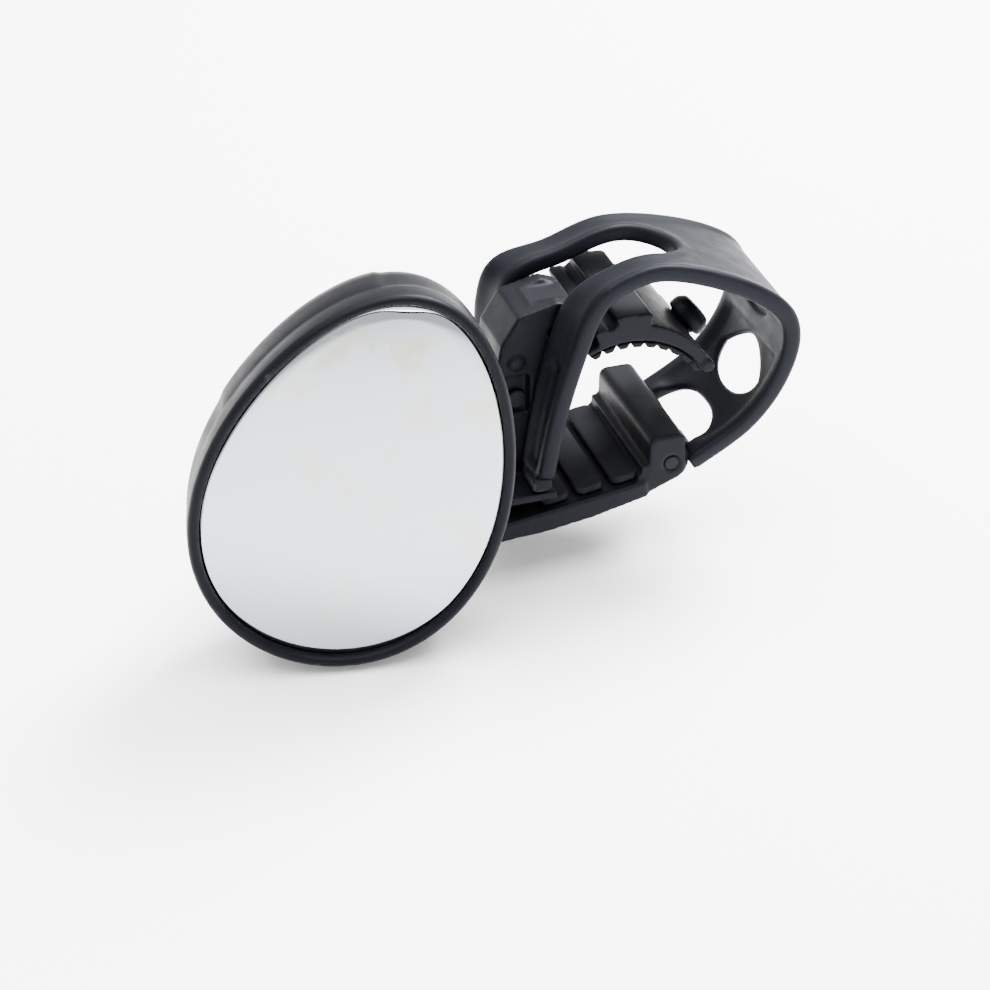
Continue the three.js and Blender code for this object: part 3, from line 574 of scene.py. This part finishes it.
def rod_shell(x, z, radius, y0, y1, sides=32):
    """A closed cylinder along Y in millimetres, for remeshed()."""
    angles = [2 * math.pi * k / sides for k in range(sides)]
    circle = [(x + radius * math.cos(a), z + radius * math.sin(a)) for a in angles]
    return skin([[Vector((px, y, pz)) * MM for px, pz in circle] for y in (y0, y1)])


def rounded_box_loop(half_u, half_v, corner):
    """A rectangle's outline with round corners."""
    loop = []
    for side_u, side_v, start in ((1, -1, -90), (1, 1, 0), (-1, 1, 90), (-1, -1, 180)):
        centre_u, centre_v = side_u * (half_u - corner), side_v * (half_v - corner)
        for degrees in range(0, 91, 15):
            a = math.radians(start + degrees)
            loop.append((centre_u + corner * math.cos(a), centre_v + corner * math.sin(a)))
    return loop


# ---------------------------------------------------------------- mirror head

# Millimetres; heights are along the head's Z axis, from the centre of the ball.
GLASS_LENGTH = 52.4
GLASS_WIDTH = 38.5
EGG_TAPER = 0.17  # how much narrower the egg's one end is than its middle
GLASS_CURVE_RADIUS = 190
GLASS_EDGE_FRONT = 8.9
GLASS_THICKNESS = 1.6
BEZEL_WIDTH = 1.72
BEZEL_FRONT = 10.2
HEAD_ROLL = math.radians(68.4)
HOUSING_BACK = -4.6
HOUSING_FLOOR = -3.0
MOUTH_RADIUS = 8.0
LEDGE_FRONT = 6.2
EGG_SEGMENTS = 200
SIDE_INSET = 0.34  # the housing's side lies this far inside its widest line
RAISED_FROM = math.radians(17)  # the back shell stands a little proud between these two places
RAISED_TO = math.radians(84)
RAISED_RAMP = math.radians(2.5)
BEVEL_AT = math.radians(9)  # where the glass's bevel, with its painted highlight, is widest
BEVEL_SPREAD = math.radians(13)
BEVEL_LEAST, BEVEL_MOST = 0.03, 0.85
SHADE_LINE_LEAST, SHADE_LINE_MOST = 0.02, 0.16  # the painted shade line along the bevel
BEVEL_PAINTED_FROM = 0.08  # share of the bevel's full width from which it gets its painted highlight and painted shade line
BEVEL_RING = 6  # the bevel's place among the glass's rings of faces; the painted shade line is the next two


def joint(name):
    """The frame's joint of this name."""
    return next(j for j in frame["joints"] if j["name"] == name)


def head_matrix():
    """The head's own frame: Z out of the glass, X towards the egg's narrow end, origin at the ball."""
    level, up = Vector(joint("head_nod")["axis"]), Vector(joint("head_turn")["axis"])
    facing = Vector(joint("head_spin")["axis"])
    long = level * math.cos(HEAD_ROLL) + up * math.sin(HEAD_ROLL)
    axes = Matrix((long, facing.cross(long), facing)).transposed().to_4x4()
    return Matrix.Translation(Vector(joint("head_spin")["pos_m"])) @ axes


def egg_point(angle, scale=1.0, grow=0.0):
    """A point of the glass's outline, scaled, and moved outwards by grow millimetres."""
    half_x, half_y = GLASS_LENGTH / 2, GLASS_WIDTH / 2
    taper = 1 - EGG_TAPER * math.cos(angle)
    x, y = half_x * math.cos(angle), half_y * math.sin(angle) * taper
    dx = -half_x * math.sin(angle)
    dy = half_y * (math.cos(angle) * taper + EGG_TAPER * math.sin(angle) ** 2)
    length = math.hypot(dx, dy)
    return x * scale + grow * dy / length, y * scale - grow * dx / length


def egg_ring(matrix, z, scale=1.0, grow=0.0):
    """One ring of the egg; z and grow are millimetres or functions."""
    ring = []
    for k in range(EGG_SEGMENTS):
        angle = 2 * math.pi * k / EGG_SEGMENTS
        out = grow(angle) if callable(grow) else grow
        x, y = egg_point(angle, scale, out)
        height = z(x, y) if callable(z) else z
        ring.append(matrix @ (Vector((x, y, height)) * MM))
    return ring


def circle_ring(matrix, z, radius):
    """A round ring with as many points as the egg's."""
    angles = [2 * math.pi * k / EGG_SEGMENTS for k in range(EGG_SEGMENTS)]
    return [matrix @ (Vector((radius * math.cos(a), radius * math.sin(a), z)) * MM) for a in angles]


def smooth_step(t):
    """0 below 0, 1 above 1 and a soft rise between."""
    t = min(max(t, 0.0), 1.0)
    return t * t * (3 - 2 * t)


def raised(angle, amount):
    """How far the back shell stands proud at this angle."""
    rise = smooth_step((angle - RAISED_FROM) / RAISED_RAMP)
    fall = smooth_step((RAISED_TO - angle) / RAISED_RAMP)
    return amount * rise * fall


def head_shell(matrix, look):
    """Housing and bezel, as rings from the mouth at the back round to the floor inside."""
    b = BEZEL_WIDTH

    def proud(base, amount=0.3):
        return lambda angle: base - SIDE_INSET + raised(angle, amount)

    mouth = [
        circle_ring(matrix, HOUSING_BACK + 0.5, MOUTH_RADIUS),
        circle_ring(matrix, HOUSING_BACK + 0.1, MOUTH_RADIUS + 0.15),
        circle_ring(matrix, HOUSING_BACK, MOUTH_RADIUS + 0.6),
        egg_ring(matrix, HOUSING_BACK, 0.62),
    ]
    back_round = [(0.8, 0.0), (0.86, 0.03), (0.9, 0.14), (0.935, 0.36)]
    back = [egg_ring(matrix, HOUSING_BACK + z, scale) for scale, z in back_round]
    wall = [
        (-1.1, 0.85), (-0.35, 1.45), (0.3, 2.3), (0.85, 3.3), (1.2, 4.3), (1.5, 5.4), (1.66, 6.4),
    ]
    side = [egg_ring(matrix, HOUSING_BACK + z, grow=proud(g)) for g, z in wall]
    side += [
        egg_ring(matrix, 3.6, grow=proud(b - 0.06)),
        egg_ring(matrix, 5.0, grow=proud(b - 0.02)),
        egg_ring(matrix, 5.5, grow=proud(b, 0.2)),
        egg_ring(matrix, 6.0, grow=b - 0.18),
        egg_ring(matrix, 6.6, grow=b - 0.06),
    ]
    bead_steps, bead_height, bead_half = 10, 1.0, (b - 0.1) / 2
    middle = b - bead_half
    bead = []
    for k in range(bead_steps + 1):
        angle = math.pi * k / bead_steps
        z = BEZEL_FRONT - bead_height * (1 - math.sin(angle))
        bead.append(egg_ring(matrix, z, grow=middle + bead_half * math.cos(angle)))
    inner = [
        egg_ring(matrix, GLASS_EDGE_FRONT - 0.5, grow=0.1),
        egg_ring(matrix, LEDGE_FRONT + 0.1, grow=0.1),
        egg_ring(matrix, LEDGE_FRONT, grow=0.1),
        egg_ring(matrix, LEDGE_FRONT, grow=-1.3),
        egg_ring(matrix, LEDGE_FRONT - 0.2, grow=-1.5),
        egg_ring(matrix, 0.5, grow=-1.6),
        egg_ring(matrix, -1.2, grow=-2.4),
        egg_ring(matrix, HOUSING_FLOOR + 0.3, 0.86),
        egg_ring(matrix, HOUSING_FLOOR, 0.8),
        circle_ring(matrix, HOUSING_FLOOR, MOUTH_RADIUS + 0.2),
        circle_ring(matrix, HOUSING_FLOOR - 0.2, MOUTH_RADIUS),
    ]
    vertices, faces = skin(mouth + back + side + bead + inner, closed=True)
    add_piece("head_shell", vertices, faces, look["head_plastic"], "head",
              ["head_housing"])


def dome(x, y):
    """Height of the convex glass above its edge plane."""

    def drop(distance_squared):
        return GLASS_CURVE_RADIUS - math.sqrt(GLASS_CURVE_RADIUS**2 - distance_squared)

    edge = GLASS_LENGTH / 2
    return drop(edge**2) - drop(x * x + y * y)


def bevel_highlight_share(angle):
    """1 where the glass's bevel and its painted highlight are widest, near the narrow end, fading out on both
    sides.
    """
    turn = (angle + math.pi) % (2 * math.pi) - math.pi
    return math.exp(-(((turn - BEVEL_AT) / BEVEL_SPREAD) ** 2))


def bevel_width(angle):
    return BEVEL_LEAST + BEVEL_MOST * bevel_highlight_share(angle)


def bevel_shade_line(angle):
    return SHADE_LINE_LEAST + SHADE_LINE_MOST * bevel_highlight_share(angle)


def mirror_glass(matrix, look):
    """The lens, as rings from the middle of its back round its edge to the middle of its front."""

    def rear(x, y):
        return GLASS_EDGE_FRONT - GLASS_THICKNESS + dome(x, y)

    def front(lowered=0.0):
        return lambda x, y: GLASS_EDGE_FRONT + dome(x, y) - lowered

    rings = [egg_ring(matrix, rear, scale) for scale in (0.02, 0.35, 0.7)]
    rings += [
        egg_ring(matrix, rear, grow=-0.2),
        egg_ring(matrix, lambda x, y: rear(x, y) + 0.2, grow=0),
        egg_ring(matrix, front(0.75), grow=0),
        egg_ring(matrix, front(0.55), grow=-0.05),
        egg_ring(matrix, front(0.12), grow=lambda a: -0.05 - bevel_width(a)),
        egg_ring(matrix, front(0.14), grow=lambda a: -0.07 - bevel_width(a)),
        egg_ring(matrix, front(0.02), grow=lambda a: -0.07 - bevel_width(a) - bevel_shade_line(a)),
        egg_ring(matrix, front(), grow=lambda a: -0.2 - bevel_width(a) - bevel_shade_line(a)),
    ]
    rings += [egg_ring(matrix, front(), scale) for scale in (0.92, 0.8, 0.65, 0.5, 0.35, 0.2, 0.08, 0.02)]
    vertices, faces = skin(rings)
    # The bevel ring takes the painted highlight; the two rings after it take the near-black foam_tape finish as a
    # painted shade line, only near the highlight.
    finishes = [look["mirror"], look["bevel"], look["foam_tape"]]
    made = add_piece("mirror_glass", vertices, faces, finishes, "head", ["mirror_lens"])
    for index, polygon in enumerate(made.data.polygons):
        ring = index // EGG_SEGMENTS
        if bevel_highlight_share(2 * math.pi * (index % EGG_SEGMENTS) / EGG_SEGMENTS) < BEVEL_PAINTED_FROM:
            continue
        # The bevel ring gets the near-white painted highlight.
        if ring == BEVEL_RING:
            polygon.material_index = 1
        # Painted shade line on the two rings after the bevel.
        if ring in (BEVEL_RING + 1, BEVEL_RING + 2):
            polygon.material_index = 2


def back_cover(matrix, look):
    """The disc with a raised lip that closes the head round its ball."""
    z = HOUSING_BACK - 0.3
    profile = [
        (7.4, z - 3), (9.0, z - 3), (9.3, z - 2.7), (9.9, z - 2.7), (10.2, z - 3), (12, z - 3),
        (15.4, z - 1.9), (16.4, z), (15, z), (14.4, z - 1.1), (11.6, z - 1.8), (7.4, z - 1.8),
    ]
    vertices, faces = lathe(rounded(profile, 0.3), matrix, 128)
    add_piece("back_cover", vertices, faces, look["head_plastic"], "head",
              ["head_back_cover"])


def ball_and_stud(matrix, look):
    """The ball, its neck, and the collar and shank in the base's arm."""
    neck, radius, arc_steps = 2.4, 5.0, 24
    start = math.asin(neck / radius)
    arc = []
    for k in range(arc_steps + 1):
        a = start + (math.pi - start) * k / arc_steps
        arc.append((radius * math.sin(a), -radius * math.cos(a)))
    arc[-1] = (0, radius)
    profile = [
        (0, -15.2), (1.7, -15.2), (1.7, -17), (3, -17), (3, -13.7), (5.2, -13.7), (5.2, -12.2), (3.1, -12.2),
        (2.6, -11.6), (neck, -10.8),
    ]
    vertices, faces = lathe(rounded(profile, 0.25) + arc, matrix, 96)
    add_piece("ball_and_stud", vertices, faces, look["stud_plastic"], "clamp",
              ["ball_stud"])


# ---------------------------------------------------------------- strap

# The strap's middle line in x and z, in millimetres, along its front edge and along its back edge.
RIGHT_LINE = [(10.6, -7.75), (18, -3.1), (22.6, 3), (24.4, 9.8)]
FRONT_LINE = RIGHT_LINE + [
    (22.2, 14.9), (14.6, 20), (4.8, 23.4), (-1.9, 22), (-5, 18.9), (-7.3, 13), (-10.1, 3.5), (-12.1, -7),
]
BACK_LINE = RIGHT_LINE + [
    (22.4, 14.9), (14, 19), (3.3, 21), (-5.4, 18.6), (-12.4, 17), (-14.5, 11.9), (-14.6, 3.5), (-15.3, -7),
]
# Each hole: its place along the strap, half its length, half its width, how square it is, and how much its
# far end narrows.
HOLES = [(13.9, 4.2, 6.4, 2.1, 0.42), (25.2, 2.3, 4.0, 2.2, 0.0)]
HALF_WIDTH = 11.0
STRAP_HALF = 1.3  # half the strap's thickness
STRAP_CORNER = 0.75
RIM_HEIGHT = 0.22
WALL_RECESS = 0.9  # depth of the inner face between the strap's thick rims
RECESS_END = 20.5
LEG_INNER = 5.3  # half the slot's width
SLOT_END_X = 9.8
FOOT_CORNER = 1.2
CHANNEL_DEPTH = 0.75  # the long channel in the front leg
CHANNEL_Y = -7.9
CHANNEL_RADIUS = 1.5
NOTCH_DEPTH = 6.2
NOTCH_HALF = 7.2
NOTCH_SQUARENESS = 2.6
HINGE_CLEAR = 0.9  # the visible strap starts this far before the middle line's start
TIP_IN_LEG = 1.1  # how far a tip reaches up round the end of its leg
TIP_EXPONENT = 0.6  # below 1 a round outline turns squarer


def catmull(points, t):
    """The point of a uniform Catmull-Rom curve through the points."""
    place = t * (len(points) - 1)
    i = min(int(place), len(points) - 2)
    f = place - i
    p0, p1 = points[max(i - 1, 0)], points[i]
    p2, p3 = points[i + 1], points[min(i + 2, len(points) - 1)]
    out = []
    for a, b, c, d in zip(p0, p1, p2, p3):
        v0, v1 = (c - a) / 2, (d - b) / 2
        out.append((2 * b - 2 * c + v0 + v1) * f**3 + (-3 * b + 3 * c - 2 * v0 - v1) * f**2 + v0 * f + b)
    return np.array(out)


class StrapMap:
    """Puts (length along the strap, place across it, height) into space on the ruled wall."""

    STEPS = 400
    SEARCH_STEP = 0.05
    REACH = 0.5  # the wall's direction is taken over this length to either side

    def __init__(self):
        ts = np.linspace(0, 1, self.STEPS + 1)
        self.front = np.array([catmull(FRONT_LINE, t) for t in ts])
        self.back = np.array([catmull(BACK_LINE, t) for t in ts])
        middle = (self.front + self.back) / 2
        self.lengths = np.r_[0, np.cumsum(np.linalg.norm(np.diff(middle, axis=0), axis=1))]
        self.total = self.lengths[-1]

    def centre(self, s, y):
        """(x, z) on the middle surface, also a little beyond both ends."""
        share = (y + HALF_WIDTH) / (2 * HALF_WIDTH)
        line = self.front * (1 - share) + self.back * share
        inner = min(max(s, 0.0), self.total)
        x = np.interp(inner, self.lengths, line[:, 0])
        z = np.interp(inner, self.lengths, line[:, 1])
        if s != inner:
            a, b = (line[0], line[4]) if s < 0 else (line[-5], line[-1])
            along = (b - a) / np.linalg.norm(b - a)
            x, z = x + along[0] * (s - inner), z + along[1] * (s - inner)
        return x, z

    def place(self, s, y, n):
        x, z = self.centre(s, y)
        ax, az = self.centre(s - self.REACH, y)
        bx, bz = self.centre(s + self.REACH, y)
        along = Vector((bx - ax, 0, bz - az)).normalized()
        outward = Vector((along.z, 0, -along.x))
        return (Vector((x, y, z)) + outward * n) * MM

    def at_x(self, x_wanted, low, high):
        """Length along the middle line where it crosses x between two lengths."""
        for s in np.arange(low, high, self.SEARCH_STEP):
            x0, _ = self.centre(s, 0)
            x1, _ = self.centre(s + self.SEARCH_STEP, 0)
            if (x0 - x_wanted) * (x1 - x_wanted) <= 0:
                return s
        return low


def superellipse(centre, half_s, half_y, power, point, steps=48):
    """A hole's outline; power squares it, and point above 0 narrows its far end."""
    loop = []
    for k in range(steps):
        a = 2 * math.pi * k / steps
        c, s = math.cos(a), math.sin(a)
        u = half_s * math.copysign(abs(c) ** (2 / power), c)
        v = half_y * math.copysign(abs(s) ** (2 / power), s)
        narrow = 1 - point * max(0.0, u / half_s)
        loop.append((centre + u, v * narrow))
    return loop


def root_notch(start, depth, half_y, steps=24):
    """The rounded opening between the strap's two roots, from its back side to its front side."""
    exponent = 2 / NOTCH_SQUARENESS
    points = []
    for k in range(steps + 1):
        a = math.pi / 2 - math.pi * k / steps
        u = start + (depth - start) * max(math.cos(a), 0) ** exponent
        points.append((u, half_y * math.copysign(abs(math.sin(a)) ** exponent, math.sin(a))))
    return points


def capsule_depth(u, v, start, end, centre, radius):
    """1 inside a long round-ended channel, falling to 0 at its edge."""
    along = min(max(u, start), end)
    distance = math.hypot(u - along, v - centre)
    return smooth_step((radius - distance) / (0.45 * radius))


def strap(look):
    """The whole strap as one plate laid on its ruled wall, with its slot, holes, rims and channel."""
    wall = StrapMap()
    end = wall.total + 0.1
    slot_round = wall.at_x(SLOT_END_X - LEG_INNER, 40, 70)
    slot_start = wall.at_x(SLOT_END_X, 30, 70)
    depth = slot_round - slot_start
    arc = [math.pi / 2 * (1 - k / 10) for k in range(21)]
    slot_end = [(slot_round - depth * math.cos(a), LEG_INNER * math.sin(a)) for a in arc]
    outline = [
        (-HINGE_CLEAR, -HALF_WIDTH),
        (end - FOOT_CORNER, -HALF_WIDTH),
        (end, -HALF_WIDTH + FOOT_CORNER),
        (end, -LEG_INNER - FOOT_CORNER),
        (end - FOOT_CORNER, -LEG_INNER),
    ]
    outline += slot_end[::-1]
    outline += [
        (end - FOOT_CORNER, LEG_INNER),
        (end, LEG_INNER + FOOT_CORNER),
        (end, HALF_WIDTH - FOOT_CORNER),
        (end - FOOT_CORNER, HALF_WIDTH),
        (-HINGE_CLEAR, HALF_WIDTH),
    ]
    outline += root_notch(-HINGE_CLEAR, NOTCH_DEPTH, NOTCH_HALF)
    holes = [superellipse(*hole) for hole in HOLES]

    def relief(s, y, side):
        """Rims along the edges and round the slot's end, the recess inside and the leg's channel."""
        near_edge = HALF_WIDTH - abs(y)
        if side < 0:
            across = smooth_step((near_edge - 1.9) / 0.9)
            along = smooth_step((RECESS_END - s) / 2)
            return -WALL_RECESS * (across * along * smooth_step((s - 1) / 3))
        rim = RIM_HEIGHT * (1 - smooth_step((near_edge - 1.3) / 0.7))
        if s > slot_start - 3:
            from_slot = math.hypot(min(s - slot_round, 0) / depth, abs(y) / LEG_INNER)
            around = from_slot * LEG_INNER - LEG_INNER
            rim = max(rim, RIM_HEIGHT * (1 - smooth_step((around - 1.2) / 0.6)))
        channel = capsule_depth(s, y, end - 16, end - 3, CHANNEL_Y, CHANNEL_RADIUS)
        return rim - RIM_HEIGHT - CHANNEL_DEPTH * channel

    vertices, faces = rounded_plate([outline] + holes, STRAP_HALF, STRAP_CORNER, wall.place, 0.75, relief)
    made = add_piece("strap", vertices, faces, look["strap_elastomer"], None,
                     ["strap_lower", "strap_upper"])
    bend = Vector(joint("strap_bend")["pos_m"])
    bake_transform(made)


def hinge_pin():
    """Centre of the strap's pin in x and z, in millimetres."""
    place = joint("strap_hinge")["pos_m"]
    return place[0] / MM, place[2] / MM


def across_plate(middle):
    """Puts a plate's outline into x and z, and its thickness along Y about the middle in millimetres."""
    return lambda u, v, n: Vector((u, middle + n, v)) * MM


def knuckles(look):
    """The strap's two hinge knuckles on the pin."""
    px, pz = hinge_pin()
    radius, bore_radius = 2.8, 1.15
    loop = [(px + radius * math.cos(a), pz + radius * math.sin(a)) for a in np.linspace(0.6, 4.9, 30)]
    loop += [(px + 2.2, pz - 2.4), (10.9, -8.9), (11.4, -7.8), (10.7, -6.4)]
    turns = np.linspace(0, 2 * math.pi, 25)[:-1]
    bore = [(px + bore_radius * math.cos(a), pz + bore_radius * math.sin(a)) for a in turns]
    for name, middle in (("front", -6.0), ("back", 6.0)):
        vertices, faces = rounded_plate([loop, bore], 2.2, 0.35, across_plate(middle), 0.8)
        add_piece("strap_knuckle_" + name, vertices, faces, look["strap_elastomer"], "strap_root")


# ---------------------------------------------------------------- clamp base and jaw

BASE_VOXEL = 0.27 * MM
JAW_VOXEL = 0.25 * MM
BAR_RADIUS = 2.9  # round the strap's pin
LINING_OUTER = 12.8  # the lining's radii about the tube's axis
LINING_CROWN = 12.05
TOOTH_DEPTH = 0.75


def base(look):
    """The base: its CAD node and the small solids that its visible shape adds."""
    px, pz = hinge_pin()
    shells = [
        # Two steps between the floor and the hinge bar.
        box_shell(1.7, 2.5, -10.6, 10.6, -12.0, -8.6),
        box_shell(2.3, 3.6, -10.6, 10.6, -12.0, -7.2),
        # A round rib across the side of the wall that is towards the head.
        rod_shell(-14.6, 9.6, 1.0, -5.1, 5.1),
        # The bar's two ends, round the strap's pin.
        rod_shell(px, pz, BAR_RADIUS, -10.3, -8.7),
        rod_shell(px, pz, BAR_RADIUS, 8.7, 10.3),
        # A cover over the slot in the wall's top.
        box_shell(-12, -5.9, -2.6, 2.6, 16.3, 17.3),
    ]
    remeshed("clamp_base", "base_body", shells, BASE_VOXEL, look["base_plastic"], "clamp")


def jaw(look):
    """The toothed jaw, with a round bead at either side of its tip."""
    tip_angle, tip_reach, bead_radius = math.radians(31), 14.0, 0.95
    x, z = tip_reach * math.cos(tip_angle), tip_reach * math.sin(tip_angle)
    shells = [rod_shell(x, z, bead_radius, -10.3, -6.5), rod_shell(x, z, bead_radius, 6.5, 10.3)]
    remeshed("toothed_jaw", "saddle_jaw", shells, JAW_VOXEL, look["base_plastic"], "jaw")


def lining_outline(start, end, teeth):
    """Toothed strip about the tube's axis, between two angles."""
    loop = []
    steps = teeth * 10
    for i in range(steps + 1):
        share = i / steps
        phase = (share * teeth) % 1.0
        flank = smooth_step(phase / 0.22) * smooth_step((1 - phase) / 0.34)
        angle = start + (end - start) * share
        r = LINING_CROWN + TOOTH_DEPTH * (1 - flank)
        loop.append((r * math.cos(angle), r * math.sin(angle)))
    loop = loop[::-1]
    for angle in np.linspace(start, end, teeth * 4):
        loop.append((LINING_OUTER * math.cos(angle), LINING_OUTER * math.sin(angle)))
    return loop


def jaw_lining(look):
    """The wide lining, and two short strips that run on beside the wall."""
    root, end, lip = math.radians(107), math.radians(30.5), math.radians(115.3)
    # Name, first and last angle, teeth, middle and half width in millimetres, and the node it replaces.
    strips = [
        ("jaw_lining", root, end, 8, 0, 9.8, ["jaw_pad"]),
        ("jaw_lining_front", lip, root, 1, -7.4, 2.4, []),
        ("jaw_lining_back", lip, root, 1, 7.4, 2.4, []),
    ]
    for name, start, stop, teeth, middle, half, replaced in strips:
        outline = lining_outline(start, stop, teeth)
        vertices, faces = rounded_plate([outline], half, 0.16, across_plate(middle), 0.6, step=0.3)
        add_piece(name, vertices, faces, look["elastomer"], "jaw", replaced)


def peg(look):
    """The button-shaped peg for the strap's holes, standing out from the jaw."""
    turn = Matrix.Rotation(math.pi / 2 - math.radians(38), 4, "Y")
    profile = [(0, 13.5), (2.1, 13.5), (2.1, 15), (3.1, 15.3), (3.1, 16.8), (2.2, 17.9), (0, 18.05)]
    vertices, faces = lathe(rounded(profile, 0.5, 5), turn, 72)
    add_piece("strap_hook_peg", vertices, faces, look["base_plastic"], "jaw", ["strap_peg"])


def grip_pads(look):
    """Three slightly crowned pads that lie on the base's sloping floor."""
    pad_face = next(mount for mount in frame["record"]["mounts"] if mount["name"] == "pad_face")
    normal = Vector(pad_face["axis"])
    along = Vector((normal.z, 0, -normal.x))
    crown = 0.12
    for index in (1, 2, 3):
        node = "grip_pad_%d" % index
        points = np.array([v.co for v in frame["nodes"][node].data.vertices]) / MM
        centre = Vector(points.mean(0).tolist())
        heights = (points - np.array(centre)) @ np.array(normal)
        lengths = (points - np.array(centre)) @ np.array(along)
        half, width = (heights.max() - heights.min()) / 2, lengths.max() - lengths.min()
        middle = centre + normal * (heights.max() + heights.min()) / 2
        middle += along * (lengths.max() + lengths.min()) / 2
        length = points[:, 1].max() - points[:, 1].min()

        def relief(u, v, side, w=width):
            return crown * (1 - (2 * u / w) ** 2) - crown if side > 0 else 0

        def place(u, v, n, m=middle):
            return (m + along * u + Vector((0, v, 0)) + normal * n) * MM

        loop = rounded_box_loop(width / 2, length / 2, 1.3)
        vertices, faces = rounded_plate([loop], half, 0.35, place, 0.7, relief)
        add_piece("tread_pad_%d" % index, vertices, faces, look["elastomer"], "clamp", [node])


def foot_tips(look):
    """The rigid tip on each of the strap's two legs."""
    for name in ("front", "back"):
        node = "foot_tip_" + name
        low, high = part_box(node)
        high = high + Vector((0, 0, TIP_IN_LEG * MM))
        centre, half = (low + high) / 2, (high - low) / 2 / MM
        loop = []
        for k in range(24):
            a = 2 * math.pi * k / 24
            c, s = math.cos(a), math.sin(a)
            u = half.x * math.copysign(abs(c) ** TIP_EXPONENT, c)
            loop.append((u, half.z * math.copysign(abs(s) ** TIP_EXPONENT, s)))

        def place(u, v, n, m=centre):
            return m + Vector((u, n, v)) * MM

        vertices, faces = rounded_plate([loop], half.y, 0.3, place, 0.5)
        add_piece("leg_tip_" + name, vertices, faces, look["base_plastic"], "strap_loop",
                  [node])


def carried_over(look):
    """CAD nodes that stay, each with a material and softened edges."""
    slots = {row["node"]: row["material_slot"] for row in frame["record"]["subparts"]}
    for name, node in frame["nodes"].items():
        if node.hide_render:
            continue
        node.data.materials.clear()
        node.data.materials.append(look[slots[name]])
        weld = node.modifiers.new("weld", "WELD")
        weld.merge_threshold = 0.003 * MM
        bevel = node.modifiers.new("bevel", "BEVEL")
        bevel.width = 0.08 * MM
        bevel.segments = 2
        bevel.limit_method = "ANGLE"
        bevel.angle_limit = math.radians(40)


# ---------------------------------------------------------------- the whole

camera()
studio()
LOOK = materials()
HEAD = head_matrix()
head_shell(HEAD, LOOK)
mirror_glass(HEAD, LOOK)
back_cover(HEAD, LOOK)
ball_and_stud(HEAD, LOOK)
strap(LOOK)
knuckles(LOOK)
base(LOOK)
jaw(LOOK)
jaw_lining(LOOK)
peg(LOOK)
grip_pads(LOOK)
foot_tips(LOOK)
carried_over(LOOK)
